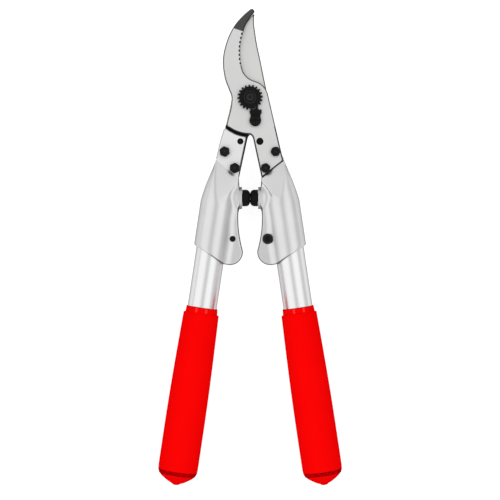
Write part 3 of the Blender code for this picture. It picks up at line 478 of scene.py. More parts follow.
def nut_form(x, y, z):
    """The toothed disc with a turned collar on its face and a bore; a shallow ring is faced off round it."""
    reach = np.hypot(x, y)
    disc = keep(outline_distance(x, y, nut_outline), np.abs(z - (nut_low + nut_high) / 2) - NUT_THICKNESS / 2,
                0.0009)
    dome = (z - nut_high) + np.maximum(reach - NUT_FALL_FROM, 0) ** 2 * NUT_FALL
    disc = keep(disc, dome, 0.0003)
    collar = keep(reach - NUT_COLLAR_RADIUS, np.abs(z - nut_high) - NUT_COLLAR_HEIGHT, 0.0004)
    return keep(join(disc, collar, 0.0006), M8_RADIUS + THREAD_PLAY - reach, 0.0004)


points, faces = skin(nut_form, (-NUT_TIP_RADIUS, -NUT_TIP_RADIUS, nut_low),
                     (NUT_TIP_RADIUS, NUT_TIP_RADIUS, nut_high + NUT_COLLAR_HEIGHT), NUT_STEP)
piece("pivot_nut_toothed", points, faces, blacked, "hook_side", ["pivot_nut"],
      {"worn": glint_rings(points, (0, 0), [(NUT_COLLAR_RADIUS - 0.0002, 0.0006, 0.40)])})

bolt_end = nut_high + NUT_COLLAR_HEIGHT + BOLT_STAND_OUT
head_top = PIVOT_Z - PLATE_FACE - SEAT_GAP - WASHER_THICKNESS - SEAT_GAP
plate_top = PIVOT_Z + PLATE_FACE
profile = eased([
    (0, bolt_end, 0), (0.0034, bolt_end, 0.0003), (M8_RADIUS, bolt_end - 0.0006, 0.0002),
    (M8_RADIUS, plate_top, 0.0001), (BEARING_RADIUS, plate_top, 0.0003), (BEARING_RADIUS, head_top, 0.0001),
    (BOLT_HEAD_RADIUS, head_top, 0.0003), (BOLT_HEAD_RADIUS, 0.0005, 0.0004), (0.0094, 0, 0.0003),
    (0.0040, 0, 0.0002), (0.0034, BOLT_DISH, 0.0002), (0, BOLT_DISH, 0)])
profile = fill_rows(profile, 0.00016)
height = profile[:, 1]
radius = threaded(profile[:, 0], height, ROUND_SIDES, M8_PITCH, M8_DEPTH, plate_top + LEVEL,
                  bolt_end - 0.0001)
angle = np.linspace(0, 2 * np.pi, ROUND_SIDES, endpoint=False)
flat_reach = BEARING_HALF_FLATS / np.maximum(np.abs(np.sin(angle)), 0.3)
keyed = (height[:, None] > PIVOT_Z - 0.0002) & (height[:, None] < plate_top)
radius = np.where(keyed, np.minimum(radius, flat_reach), radius)
points, faces = spun(radius, height, (0, 0, 0), (0, 0, 1), (1, 0, 0))
piece("pivot_bolt_turned", points, faces, bolt_black, "hook_side", ["pivot_bolt"],
      {"worn": glint_rings(points, (0, 0), [(0.0022, 0.0011, 0.30)])})

segment_root = NUT_TIP_RADIUS + TOOTH_PLAY
lock_at = np.array([math.cos(SEGMENT_ANGLE), math.sin(SEGMENT_ANGLE)]) * LOCK_DISTANCE
segment_outline = np.concatenate([
    [(-0.00035, -0.0131), (-0.0005, -0.0116), (-0.0002, -0.01095)],
    toothed(2, SEGMENT_ANGLE + math.pi / NUT_TEETH, segment_root, NUT_ROOT_RADIUS + TOOTH_PLAY,
            SEGMENT_TOOTH_SHARES),
    [(0.0066, -0.0088), (0.0079, -0.0107), (0.0089, -0.0098), (0.0094, -0.0098), (0.0098, -0.0128),
     (0.0088, -0.0143), (0.0088, -0.0173)],
    arc(lock_at, SEGMENT_END_RADIUS, math.radians(15), math.radians(-200), 36),
    [(0.0003, -0.0173), (0.0003, -0.0143)]])


def segment_form(x, y, z):
    """The stamped plate: its outline and its thickness, with the punched edge well rounded."""
    thick = np.abs(z - nut_low - SEGMENT_THICKNESS / 2) - SEGMENT_THICKNESS / 2
    plate = keep(outline_distance(x, y, segment_outline), thick, 0.0007)
    return keep(plate, LOCK_HOLE_RADIUS - np.hypot(x - lock_at[0], y - lock_at[1]), 0.0003)


low, high = segment_outline.min(0), segment_outline.max(0)
points, faces = skin(segment_form, (*low, nut_low), (*high, nut_low + SEGMENT_THICKNESS), SEGMENT_STEP)
piece("lock_segment_stamped", points, faces, blacked, "hook_side", ["lock_segment"])

lock_seat = nut_low + SEGMENT_THICKNESS + SEAT_GAP


def lock_screw_form(x, y, z):
    """A domed head, a slot across it and a plain shank below."""
    across, along = x - lock_at[0], y - lock_at[1]
    reach = np.hypot(across, along)
    dome_radius = (LOCK_HEAD_RADIUS ** 2 + LOCK_DOME_RISE ** 2) / (2 * LOCK_DOME_RISE)
    dome = np.sqrt(reach ** 2 + (z - lock_seat - LOCK_HEAD_HEIGHT + dome_radius) ** 2) - dome_radius
    head = keep(keep(reach - LOCK_HEAD_RADIUS, dome, 0.0009), lock_seat - z, 0.0004)
    slot_side = across * math.sin(LOCK_SLOT_ANGLE) - along * math.cos(LOCK_SLOT_ANGLE)
    slot_floor = lock_seat + LOCK_HEAD_HEIGHT - LOCK_SLOT_DEPTH
    slot = np.maximum(np.abs(slot_side) - LOCK_SLOT_WIDTH / 2, slot_floor - z)
    head = keep(head, -slot, 0.0002)
    shank_top, shank_end = lock_seat + 0.001, PIVOT_Z + LEVEL + SEAT_GAP
    shank = np.maximum(reach - LOCK_SHANK_RADIUS, np.maximum(z - shank_top, shank_end - z))
    return join(head, shank, 0.0002)


points, faces = skin(lock_screw_form, (*(lock_at - LOCK_HEAD_RADIUS), PIVOT_Z),
                     (*(lock_at + LOCK_HEAD_RADIUS), lock_seat + LOCK_HEAD_HEIGHT), LOCK_STEP)
piece("lock_screw_domed", points, faces, blacked, "hook_side", ["lock_screw"])

# The washer keeps the solid's own mesh, under the bolt's head
washer, tree, shader = finish("washer_steel", (0.45, 0.45, 0.44), 0.38, 1.0)
grains = use_group(tree, grain, {"Fine": 1800.0, "Broad": 120.0})
tree.links.new(blend_colours(tree, grains["Mottle"], (0.36, 0.36, 0.35), (0.52, 0.52, 0.51)),
               shader.inputs["Base Color"])
bump(tree, shader, grains["Speckle"], 0.00002, 0.5)
frame["nodes"]["pivot_washer"].material_slots[0].material = washer


# Blades
# Two hot-forged carbon steel plates, 5 mm thick, that shear on each other's inner faces: a convex cutting
# blade and a hook with eight notches. The wide faces are ground bright. Their edges, a band along the rims
# and the notch floors are painted near black, and so is the tang in the gap beyond the lug's arc: painted
# shade.
# The hook's thinned tip is painted a darker grey.
SIDES = {"left": ("blade_side", np.array([1.0, 1, 1])), "right": ("hook_side", np.array([-1.0, 1, -1]))}
GROUND_STEEL = (0.73, 0.73, 0.715)
HOOK_STEEL = (0.73, 0.73, 0.725)
# painted shade: the near black of the plates' edges and of the band along their rims
RIM_SHADE_BLACK = (0.030, 0.030, 0.030)
# painted shade: near black for the tang in the gap under the lug
GAP_SHADE_BLACK = (0.018, 0.018, 0.018)
# the hook's thinned tip is painted this darker grey
TIP_DARK_TONE = (0.088, 0.088, 0.089)
GAP_SHADE_RADIUS = 0.0300         # the tang is painted in shade beyond this distance from the pivot
RIM_WIDTH, RIM_FADE = 0.0010, 0.0003    # painted shade: a dark band along the outer faces' edges
TANG_BELOW = -0.024            # the level where the tangs start
SPINE_LEVELS, SPINE_SIDE = (-0.02, 0.0706), (0.010, 0.0012)       # right of this line a rim is the spine's
SWEEP_RADIUS = 0.0308
BLADE_TANG_TOP, HOOK_TANG_TOP = (-0.0136, 0.0066), (-0.0147, 0.0040)
TANG_OUTER_END, TANG_INNER_END = np.array([-0.0274, -0.0530]), np.array([-0.0100, -0.0672])
TANG_INNER_TOP = np.array([-0.0029, -0.0343])
CROTCH = (-0.0018, -0.0322)
WAIST = [(0.0196, -0.0216), (0.0181, -0.0157), (0.0163, -0.0088), (0.0155, -0.0020)]
BLADE_BOLTS = {"upper": (-0.0213, -0.0453), "lower": (-0.0129, -0.0591)}
PIN_AT = (0.0375 * math.cos(math.radians(257.4)), 0.0375 * math.sin(math.radians(257.4)))
BOLT_HOLE_RADIUS, TANG_PIN_HOLE_RADIUS = 0.00275, 0.00295
PIVOT_BORE_RADIUS = 0.0061
KEYHOLE_RADIUS, KEYHOLE_HALF_FLATS = 0.00625, 0.00525
EDGE_RADIUS, EDGE_TIP, EDGE_HEEL = 0.0670, np.array([0.0029, 0.0706]), np.array([-0.0142, 0.0118])
EDGE_LAND, GRIND_WIDTH = 0.0006, 0.0075
SPINE = [(0.0155, -0.0015), (0.0138, 0.0064), (0.0118, 0.0160), (0.0090, 0.0300), (0.0058, 0.0450),
         (0.0041, 0.0560), (0.0032, 0.0640), (0.0036, 0.0700)]
HOOK_BACK = [(0.0155, -0.0020), (0.0158, 0.0020), (0.0184, 0.0086), (0.0211, 0.0162), (0.0227, 0.0265),
             (0.0224, 0.0355), (0.0205, 0.0440), (0.0173, 0.0528), (0.0125, 0.0612), (0.0062, 0.0686),
             (-0.0004, 0.0745)]
HOOK_TIP = [(-0.0018, 0.0747), (-0.0033, 0.0737), (-0.0037, 0.0722)]
HOOK_MOUTH = [(-0.0034, 0.0715), (0.0000, 0.0672), (0.0036, 0.0614), (0.0061, 0.0544), (0.0079, 0.0465),
              (0.0085, 0.0394), (0.0081, 0.0318), (0.0066, 0.0240), (0.0050, 0.0204), (0.0026, 0.0175),
              (-0.0007, 0.0152), (-0.0041, 0.0139), (-0.0077, 0.0124), (-0.0108, 0.0101), (-0.0130, 0.0076)]
NOTCH_LEVELS = 0.0289 + 0.0035 * np.arange(8)
NOTCH_RADIUS = 0.00115
NOTCH_FLOOR = 0.0010
NOTCHED = (0.0272, 0.0556)     # the levels between which the mouth's edge is nearly sharp
GAP_SHADE_FROM = -LEVEL - 0.0006   # the painted shade lies on the lug's side of the tang, above this level
TIP_LINE, TIP_UP, TIP_SLOPE = (0.0063, 0.0555), (-0.3125, 0.950), 0.127


# Streaks: noise drawn out along one direction, as a belt or a die leaves it
streaks, streaks_in, streaks_out = new_group(
    "streaks",
    [("Vector", "NodeSocketVector", None), ("Stretch", "NodeSocketVector", (1.0, 1.0, 1.0)),
     ("Turn", "NodeSocketFloat", 0.0)],
    ["Lines"])
turned = shader_node(streaks, "ShaderNodeVectorRotate",
                     {"Vector": streaks_in["Vector"], "Angle": streaks_in["Turn"]}, rotation_type="Z_AXIS")
drawn = shader_node(streaks, "ShaderNodeVectorMath",
                    {0: turned.outputs[0], 1: streaks_in["Stretch"]}, operation="MULTIPLY")
lines = shader_node(streaks, "ShaderNodeTexNoise", {"Vector": drawn.outputs[0], "Scale": 1.0, "Detail": 3.0})
streaks.links.new(lines.outputs["Fac"], streaks_out.inputs["Lines"])


def blade_finish(name, steel):
    """Ground steel, its edges and rims painted near black as shade; marks tell where rim, gap shade and dark
    tip lie.
    """
    material, tree, shader = finish(name, steel, 0.42, 1.0)
    normal = shader_node(tree, "ShaderNodeNewGeometry").outputs["True Normal"]
    up = shader_node(tree, "ShaderNodeSeparateXYZ", {0: normal}).outputs["Z"]
    # Faces that are not flat, the plates' edges and chamfers, are painted near black: painted shade.
    side = spread(tree, maths(tree, "ABSOLUTE", up), 1.0, 0.0, 0.76, 0.80)
    rim, covered, tip = (painted(tree, label) for label in ("rim", "covered", "tip"))
    grains = use_group(tree, grain, {"Fine": 2200.0, "Broad": 45.0})
    belt = use_group(tree, streaks, {"Stretch": (260.0, 5200.0, 260.0), "Turn": 0.35})
    tone = maths(tree, "ADD", maths(tree, "MULTIPLY", grains["Mottle"], 0.6),
                 maths(tree, "MULTIPLY", belt["Lines"], 0.4))
    bright = blend_colours(tree, spread(tree, tone, 0.0, 1.0),
                           [c * 0.975 for c in steel], [c * 1.02 for c in steel])
    edge = blend_colours(tree, grains["Speckle"], [c * 0.75 for c in RIM_SHADE_BLACK], [c * 1.35 for c in RIM_SHADE_BLACK])
    # The hook's thinned tip is painted a darker grey.
    colour = blend_colours(tree, tip, bright, TIP_DARK_TONE)
    # Edges and the rim band take the near-black edge colour: painted shade.
    colour = blend_colours(tree, maths(tree, "MAXIMUM", side, rim), colour, edge)
    # The tang where its lug covers and shades it is painted near black: painted shade of the gap.
    tree.links.new(blend_colours(tree, covered, colour, GAP_SHADE_BLACK), shader.inputs["Base Color"])
    rough = maths(tree, "ADD", spread(tree, belt["Lines"], 0.36, 0.50),
                  maths(tree, "MULTIPLY", maths(tree, "MAXIMUM", covered, tip), 0.12))
    tree.links.new(rough, shader.inputs["Roughness"])
    bump(tree, shader, maths(tree, "ADD", belt["Lines"], grains["Speckle"]), 0.00001, 0.35)
    return material


def flowing(points, steps=5):
    """A Catmull-Rom curve through points.

    Each stretch is a cubic whose slope at either end is half the chord between that end's neighbours.
    """
    points = np.array(points, float)
    points = np.concatenate([[2 * points[0] - points[1]], points, [2 * points[-1] - points[-2]]])
    a, b, c, d = (points[k:len(points) - 3 + k, None] for k in range(4))
    t = np.linspace(0, 1, steps, endpoint=False)[None, :, None]
    curve = (2 * b + (c - a) * t + (2 * a - 5 * b + 4 * c - d) * t ** 2
             + (3 * b - a - 3 * c + d) * t ** 3) / 2
    return np.concatenate([curve.reshape(-1, 2), points[-2:-1]])


def tang_outline(shift, top, wider):
    """A tang from its outer top round its end and crotch, the arc that clears the other lug, and the waist.

    shift moves its inner side inwards, and wider moves its outer end outwards.
    """
    inner_end, inner_top = TANG_INNER_END + (shift, 0), TANG_INNER_TOP + (shift, 0)
    end = eased([(*top, 0), (TANG_OUTER_END[0] - wider, TANG_OUTER_END[1], 0.0016), (*inner_end, 0.0010),
                 (*inner_top, 0)])
    crotch = flowing([inner_top, (CROTCH[0] + shift / 2, CROTCH[1]), (-0.0002, -SWEEP_RADIUS)], 3)
    last = math.atan2(WAIST[0][1], WAIST[0][0]) - math.radians(3.4)
    return np.concatenate([end[:-1], crotch[:-1], arc((0, 0), SWEEP_RADIUS, -math.pi / 2 - 0.0065, last, 24),
                           flowing(WAIST, 3)[:-1]])


half_chord = (EDGE_TIP - EDGE_HEEL) / 2
chord_across = np.array([half_chord[1], -half_chord[0]]) / np.linalg.norm(half_chord)
edge_centre = EDGE_HEEL + half_chord + chord_across * math.sqrt(EDGE_RADIUS ** 2 - half_chord @ half_chord)
edge_angles = [math.atan2(*(end - edge_centre)[::-1]) % (2 * math.pi) for end in (EDGE_TIP, EDGE_HEEL)]
mouth = flowing(HOOK_MOUTH, 6)
notches = np.stack([np.interp(NOTCH_LEVELS, mouth[::-1, 1], mouth[::-1, 0]), NOTCH_LEVELS], -1)
blade_outline = np.concatenate([tang_outline(0.0006, BLADE_TANG_TOP, 0), flowing(SPINE, 4),
                                arc(edge_centre, EDGE_RADIUS, *edge_angles, 40)])
hook_outline = np.concatenate([tang_outline(0.0003, HOOK_TANG_TOP, 0.0005), flowing(HOOK_BACK, 4), HOOK_TIP,
                               mouth])


def fastener_holes(x, y, pin_hole_radius):
    """Distance to the nearest of the holes for the two bolts and the pin, negative inside it."""
    holes = np.hypot(x - PIN_AT[0], y - PIN_AT[1]) - pin_hole_radius
    for at in BLADE_BOLTS.values():
        holes = np.minimum(holes, np.hypot(x - at[0], y - at[1]) - BOLT_HOLE_RADIUS)
    return holes


def plate_form(x, y, z, outline, reach):
    """A plate kept to its outline, its outer edge rounded over a reach, with its three fastener holes."""
    body = keep(keep(outline_distance(x, y, outline), -PLATE_FACE - z, reach), z + LEVEL, 0.0002)
    return np.maximum(body, -fastener_holes(x, y, TANG_PIN_HOLE_RADIUS))


def cutting_form(x, y, z):
    """The cutting blade: a cone about the edge's centre thins its outer face to the land at the edge."""
    slope = (PLATE_FACE - LEVEL - EDGE_LAND) / GRIND_WIDTH
    inwards = EDGE_RADIUS - np.hypot(x - edge_centre[0], y - edge_centre[1])
    ground = (-LEVEL - EDGE_LAND - inwards * slope - z) / math.hypot(1, slope)
    ground = ground - np.maximum(EDGE_HEEL[1] - y, 0) * 3
    body = keep(plate_form(x, y, z, blade_outline, 0.0008), ground, 0.0002)
    return np.maximum(body, PIVOT_BORE_RADIUS - np.hypot(x, y))


def beyond_tip_line(x, y):
    """Distance past the line where the hook's tip starts to thin."""
    return (x - TIP_LINE[0]) * TIP_UP[0] + (y - TIP_LINE[1]) * TIP_UP[1]


def in_notched(x, y):
    """1 along the notched stretch of the hook's mouth."""
    return ((y > NOTCHED[0]) & (y < NOTCHED[1]) & (x < 0.0135)) * 1.0


def hook_form(x, y, z):
    """The hook: blind notches in its mouth, a plane that thins its tip, and the keyed pivot hole."""
    reach = 0.0009 - 0.0006 * in_notched(x, y)
    body = plate_form(x, y, z, hook_outline, reach)
    for at in notches:
        notch = np.maximum(np.hypot(x - at[0], y - at[1]) - NOTCH_RADIUS, z + LEVEL + NOTCH_FLOOR)
        body = keep(body, -notch, 0.0001)
    plane = (-PLATE_FACE + TIP_SLOPE * beyond_tip_line(x, y) - z) / math.hypot(1, TIP_SLOPE)
    keyhole = np.maximum(np.hypot(x, y) - KEYHOLE_RADIUS, np.abs(y) - KEYHOLE_HALF_FLATS)
    return np.maximum(keep(body, plane, 0.0002), -keyhole)


def rim_band(points, outline):
    """1 within the rim's width of an outline, a fade's width more on the tang, falling to 0 over the fade."""
    width = RIM_WIDTH + np.where(points[:, 1] < TANG_BELOW, RIM_FADE, 0)
    return np.clip((outline_distance(points[:, 0], points[:, 1], outline) + width) / RIM_FADE, 0, 1)


def gap_shade(points):
    """1 on the part of a tang's outer side and rims that its lug covers or shades, which is painted as shade.
    """
    from_pivot = np.hypot(points[:, 0], points[:, 1])
    return ((from_pivot > GAP_SHADE_RADIUS) & (points[:, 1] < -0.02) & (points[:, 2] > GAP_SHADE_FROM)) * 1.0


PLATES_FROM = (-0.0275, -0.0673)         # the lowest and leftmost that both plates reach
PLATES_RIGHT = 0.0310
BLADE_STEP = 0.00038
MARK_FADE = 0.0002
points, faces = skin(cutting_form, (*PLATES_FROM, -PLATE_FACE), (PLATES_RIGHT, 0.0707, -LEVEL), BLADE_STEP)
beside_spine = points[:, 0] > np.interp(points[:, 1], SPINE_LEVELS, SPINE_SIDE)
along_spine = (points[:, 1] > TANG_BELOW) & beside_spine
marks = {"rim": rim_band(points, blade_outline) * along_spine, "covered": gap_shade(points),
         "tip": np.zeros(len(points))}
piece("cutting_blade_forged", points + (0, 0, PIVOT_Z), faces,
      blade_finish("cutting_blade_steel", GROUND_STEEL), "blade_side",
      ["cutting_blade"], marks)

points, faces = skin(hook_form, (*PLATES_FROM, -PLATE_FACE), (PLATES_RIGHT, 0.0748, -LEVEL), BLADE_STEP)
over = beyond_tip_line(points[:, 0], points[:, 1])
to_notch = np.hypot(*(points[:, None, :2] - notches).transpose(2, 0, 1)).min(1)
near_mouth = points[:, 0] < np.interp(points[:, 1], mouth[::-1, 1], mouth[::-1, 0]) + 0.0014
rim = rim_band(points, hook_outline) * (1 - in_notched(points[:, 0], points[:, 1]))
rim = np.where(over > 0, rim * near_mouth, rim)
# The blind notches' floors are painted near black: painted shade in the notches.
rim = np.maximum(rim, np.clip((NOTCH_RADIUS - to_notch) / MARK_FADE + 1, 0, 1))
marks = {"rim": rim, "covered": gap_shade(points), "tip": np.clip(over / MARK_FADE, 0, 1)}
piece("counter_blade_forged", points * SIDES["right"][1] + (0, 0, PIVOT_Z), faces,
      blade_finish("counter_blade_steel", HOOK_STEEL), "hook_side", ["counter_blade"], marks)


# Brackets
# Forged aluminium: a flat lug bolted over the tang, ramps that rise to a round tube socket, and a web with
# two clamp ears and the buffer's boss. Tumbled satin, with its flats faced off. Its rim keeps the grey of
# trimming, deepened as painted shade; the socket's end and the flange's edge carry painted shade too.
LUG_FACE = LEVEL + 0.0047
EAR_FACE = 0.0072              # half the web's thickness beside the boss
LOBE_FACE = 0.0058             # and at the ears' lobes
HANDLE_TILT = math.radians(8.53)
HANDLE_OFFSET = 0.0141
SOCKET_TOP, SOCKET_FULL, SOCKET_END = 0.0500, 0.0900, 0.1265
SOCKET_TOP_RADIUS = 0.0052
TUBE_RADIUS = 0.01225
SOCKET_RADIUS = TUBE_RADIUS + 0.0021
SHOULDER_POWER = 1.35
RAMP_SLOPE = 0.38
RAMP_LEVEL = PLATE_FACE + 0.0002
FOOT_DROP = 0.0013             # from the tang's end to the foot of the ramp beside the lug
RAMP_INNER = [(-0.0150, -0.0757), (-0.0190, -0.0812), (-0.0245, -0.0795)]
LUG_RADIUS = 0.0326
LUG_INNER_TOP = (-0.0032, -0.0343)
LUG_OUTER = [(-0.0250, -0.0360), (-0.0283, -0.0500)]
LOBE_AT = (0.1284, TUBE_RADIUS + 0.0041)        # down the handle axis and inwards from it
LOBE_RADIUS = 0.0109
EAR_INNER = [(0.1221, 0.0131), (0.1163, 0.0110), (0.1091, 0.0088), (0.1003, 0.0069), (0.0923, 0.0059)]
NECK_INNER = [(-0.0092, -0.0745), (-0.0093, -0.0704), (-0.0093, -0.0680), (-0.0098, -0.0655)]
BUFFER_Y = -0.0839
BUFFER_SEAT_X = -0.00665
BOSS_RADIUS, BOSS_RIM, BOSS_ROOT_RADIUS, BOSS_LENGTH = 0.0092, 0.0040, 0.0062, 0.0100
POCKET_RADIUS, POCKET_DEPTH = 0.00375, 0.0063
BOSS_CLEAR = 0.0125            # the boss's face is turned flat this far from its axis
LUG_PIN_HOLE_RADIUS = 0.00245
TUBE_PLAY, POCKET_PLAY = 0.0003, 0.0001
BORE_TOP = 0.096               # down the handle axis
SAW_SLOT_HALF, SAW_SLOT_TOP = 0.0008, -0.0985
CLAMP_AT = (0.1171, TUBE_RADIUS + 0.0048)
CLAMP_HOLE_RADIUS, CLAMP_BORE_RADIUS, CLAMP_BORE_LEVEL = 0.00215, 0.0038, -0.0050
SWELL_AT, THIN_AT = (0.072, 0.080), (0.100, 0.117)      # where the web swells, and where it thins
LUG_TUCK = 0.0011              # the right lug's outer side lies this much further in
BRACKET_STEP = 0.00047
# The second grey is the rim's trimming grey, darkened further as painted shade.
FACED_ALLOY, TRIM_AND_SHADE_GREY = (0.83, 0.83, 0.83), (0.20, 0.20, 0.20)
handle_up = np.array([math.sin(HANDLE_TILT), math.cos(HANDLE_TILT)])
handle_in = np.array([math.cos(HANDLE_TILT), -math.sin(HANDLE_TILT)])


def on_handle(down, inward):
    """The plan point at a distance down the handle axis and inwards from it."""
    return np.array([-HANDLE_OFFSET, 0]) - handle_up * down + handle_in * inward


def handle_frame(x, y):
    """Distances down the handle axis from the pivot's level, and inwards from it."""
    down = -((x + HANDLE_OFFSET) * handle_up[0] + y * handle_up[1])
    return down, (x + HANDLE_OFFSET) * handle_in[0] + y * handle_in[1]


def socket_radius(down):
    """The shoulder rises from its top radius to the full one as 1 - (1 - share) ** power."""
    share = np.clip((down - SOCKET_TOP) / (SOCKET_FULL - SOCKET_TOP), 0, 1)
    return SOCKET_TOP_RADIUS + (SOCKET_RADIUS - SOCKET_TOP_RADIUS) * (1 - (1 - share) ** SHOULDER_POWER)


end_corner = on_handle(SOCKET_END, -SOCKET_RADIUS)
lobe = on_handle(*LOBE_AT)
clamp_at = on_handle(*CLAMP_AT)
reach = lobe - end_corner
end_angle = math.atan2(reach[1], reach[0]) - math.asin(LOBE_RADIUS / np.linalg.norm(reach))
end_down = np.array([math.sin(end_angle), -math.cos(end_angle)])
web_half = SOCKET_RADIUS * 0.80
lug_angles = math.radians(-96.2), math.radians(-129.5)
lug_corner = (LUG_RADIUS + 0.0026) * np.array([math.cos(lug_angles[1]), math.sin(lug_angles[1])])
ear_line = flowing([on_handle(down, TUBE_RADIUS + offset) for down, offset in EAR_INNER] + NECK_INNER)
web_outline = np.concatenate([
    arc((0, 0), LUG_RADIUS, *lug_angles, 24), [lug_corner], LUG_OUTER,
    [on_handle(0.0620, -SOCKET_TOP_RADIUS * 1.4), on_handle(SOCKET_FULL, -web_half),
     on_handle(SOCKET_END, -web_half)],
    arc(lobe, LOBE_RADIUS, end_angle - math.pi / 2, math.radians(8), 28), ear_line, [LUG_INNER_TOP]])
diagonal = (TANG_INNER_END - TANG_OUTER_END) / np.linalg.norm(TANG_INNER_END - TANG_OUTER_END)
away = np.array([diagonal[1], -diagonal[0]])
diagonal_middle = (TANG_OUTER_END + TANG_INNER_END) / 2
ramp_outline = np.array([TANG_OUTER_END - away * 0.0018, TANG_INNER_END - diagonal * 0.0011 - away * 0.0018,
                         *RAMP_INNER])


def web_face(down):
    """Half the web's thickness: it swells at the boss, thins to the lobes, each as share^2 (3 - 2 share)."""
    rise = np.clip((down - SWELL_AT[0]) / (SWELL_AT[1] - SWELL_AT[0]), 0, 1)
    fall = np.clip((down - THIN_AT[0]) / (THIN_AT[1] - THIN_AT[0]), 0, 1)
    return (PLATE_FACE + (EAR_FACE - PLATE_FACE) * rise ** 2 * (3 - 2 * rise)
            - (EAR_FACE - LOBE_FACE) * fall ** 2 * (3 - 2 * fall))


def bracket_form(x, y, z):
    """The bracket about its side's shear plane, as one distance built up from its forms."""
    down, inward = handle_frame(x, y)
    past = (x - diagonal_middle[0]) * away[0] + (y - diagonal_middle[1]) * away[1]
    socket = keep((np.hypot(inward, z) - socket_radius(down)) * 0.96, SOCKET_TOP - down, 0.002)
    block = keep(outline_distance(x, y, ramp_outline), np.abs(z) - SOCKET_RADIUS * 0.98, 0.002)
    socket = join(socket, block, 0.0025)
    end = (x - end_corner[0]) * end_down[0] + (y - end_corner[1]) * end_down[1]
    socket = keep(socket, end, 0.0010)
    face = web_face(down)
    web = join(np.abs(z) - face, socket, 0.0042 + (EAR_FACE - face) * 1.2)
    body = join(keep(outline_distance(x, y, web_outline), web, 0.0018), socket, 0.0008)
    depth = BUFFER_SEAT_X - 0.0003 - x
    off_axis = np.hypot(y - BUFFER_Y, z)
    taper = np.clip((depth - BOSS_RIM) / (BOSS_LENGTH - BOSS_RIM), 0, 1)
    boss = off_axis - (BOSS_RADIUS - 0.0006 + (BOSS_ROOT_RADIUS - BOSS_RADIUS) * taper)
    boss = keep(boss * 0.9, np.maximum(BOSS_RIM / 2 - depth, depth - BOSS_LENGTH), 0.0010)
    body = join(body, boss, 0.0042)
    body = keep(body, np.minimum(BOSS_RIM / 2 - depth, BOSS_CLEAR - np.abs(y - BUFFER_Y)), 0.0006)
    ramp = (np.abs(z) - RAMP_LEVEL - RAMP_SLOPE * (past - FOOT_DROP * (z > 0))) / math.hypot(1, RAMP_SLOPE)
    body = keep(body, np.minimum(z - LUG_FACE, ramp), 0.0009)
    body = keep(body, np.minimum(LEVEL - z, np.maximum(0.00012 - past, ramp)), 0.0002)
    bore = np.maximum(np.hypot(inward, z) - TUBE_RADIUS - TUBE_PLAY, BORE_TOP - down)
    pocket = np.maximum(off_axis - POCKET_RADIUS - POCKET_PLAY, depth - POCKET_DEPTH - POCKET_PLAY * 2)
    slot_ends = np.maximum(y - SAW_SLOT_TOP, on_handle(SOCKET_END, 0)[0] - x)
    slot = np.maximum(np.abs(z) - SAW_SLOT_HALF, slot_ends)
    holes = np.minimum(np.minimum(bore, pocket), slot)
    holes = np.minimum(holes, fastener_holes(x, y, LUG_PIN_HOLE_RADIUS))
    from_clamp = np.hypot(x - clamp_at[0], y - clamp_at[1])
    counterbore = np.maximum(from_clamp - CLAMP_BORE_RADIUS, z - CLAMP_BORE_LEVEL)
    holes = np.minimum(holes, np.minimum(from_clamp - CLAMP_HOLE_RADIUS, counterbore))
    return keep(body, -holes, 0.0005)


casting, tree, shader = finish("tumbled_alloy", (0.67, 0.67, 0.675), 0.34, 1.0, grazing=0.3)
grains = use_group(tree, grain, {"Fine": 2600.0, "Broad": 55.0})
satin = blend_colours(tree, spread(tree, grains["Mottle"], 0.0, 1.0),
                      (0.655, 0.655, 0.66), (0.685, 0.685, 0.69))
faced = painted(tree, "faced")
ground = blend_colours(tree, faced, satin, FACED_ALLOY)
# The rim, the socket's end and the flange's edge are painted dark grey: painted shade over the rim's trimming
# grey.
tree.links.new(blend_colours(tree, painted(tree, "trimmed"), ground, TRIM_AND_SHADE_GREY),
               shader.inputs["Base Color"])
rough = maths(tree, "ADD", spread(tree, grains["Speckle"], 0.30, 0.38), maths(tree, "MULTIPLY", faced, 0.2))
tree.links.new(rough, shader.inputs["Roughness"])
bump(tree, shader, grains["Speckle"], 0.00002, 0.5)

points, faces = skin(bracket_form, (-0.0480, -0.1420, -SOCKET_RADIUS), (-0.0022, -0.0235, SOCKET_RADIUS),
                     BRACKET_STEP)
rim = outline_distance(points[:, 0], points[:, 1], web_outline)
near_rim = np.clip((rim + 0.0011) / 0.0005, 0, 1)
down, inward = handle_frame(points[:, 0], points[:, 1])
on_web = ((down < 0.060) | (inward > SOCKET_RADIUS)) & (np.abs(points[:, 2]) < web_face(down) + 0.0002)
on_boss = np.hypot(points[:, 1] - BUFFER_Y, points[:, 2]) < BOSS_RADIUS + 0.0006
on_boss &= points[:, 0] > BUFFER_SEAT_X - BOSS_LENGTH
past = (points[:, :2] - diagonal_middle) @ away
on_web &= (past < -0.001) | (past > 0.002)
# The web's rim is painted dark grey: its trimming grey, deepened as painted shade.
trimmed = near_rim * on_web * ~on_boss * np.where((down < 0.060) & (inward < 0.004), 0.55, 1.0)
# A band along the socket's end, towards the ear, is painted dark: painted shadow.
to_end = (points[:, :2] - end_corner) @ end_down
end_shadow = np.clip((to_end + 0.0009) / 0.0004, 0, 1) * np.clip((inward + 0.003) / 0.004, 0, 0.8)
trimmed = np.maximum(trimmed, end_shadow)
faced = ((past < 0) & (points[:, 2] > 0)) * 1.0

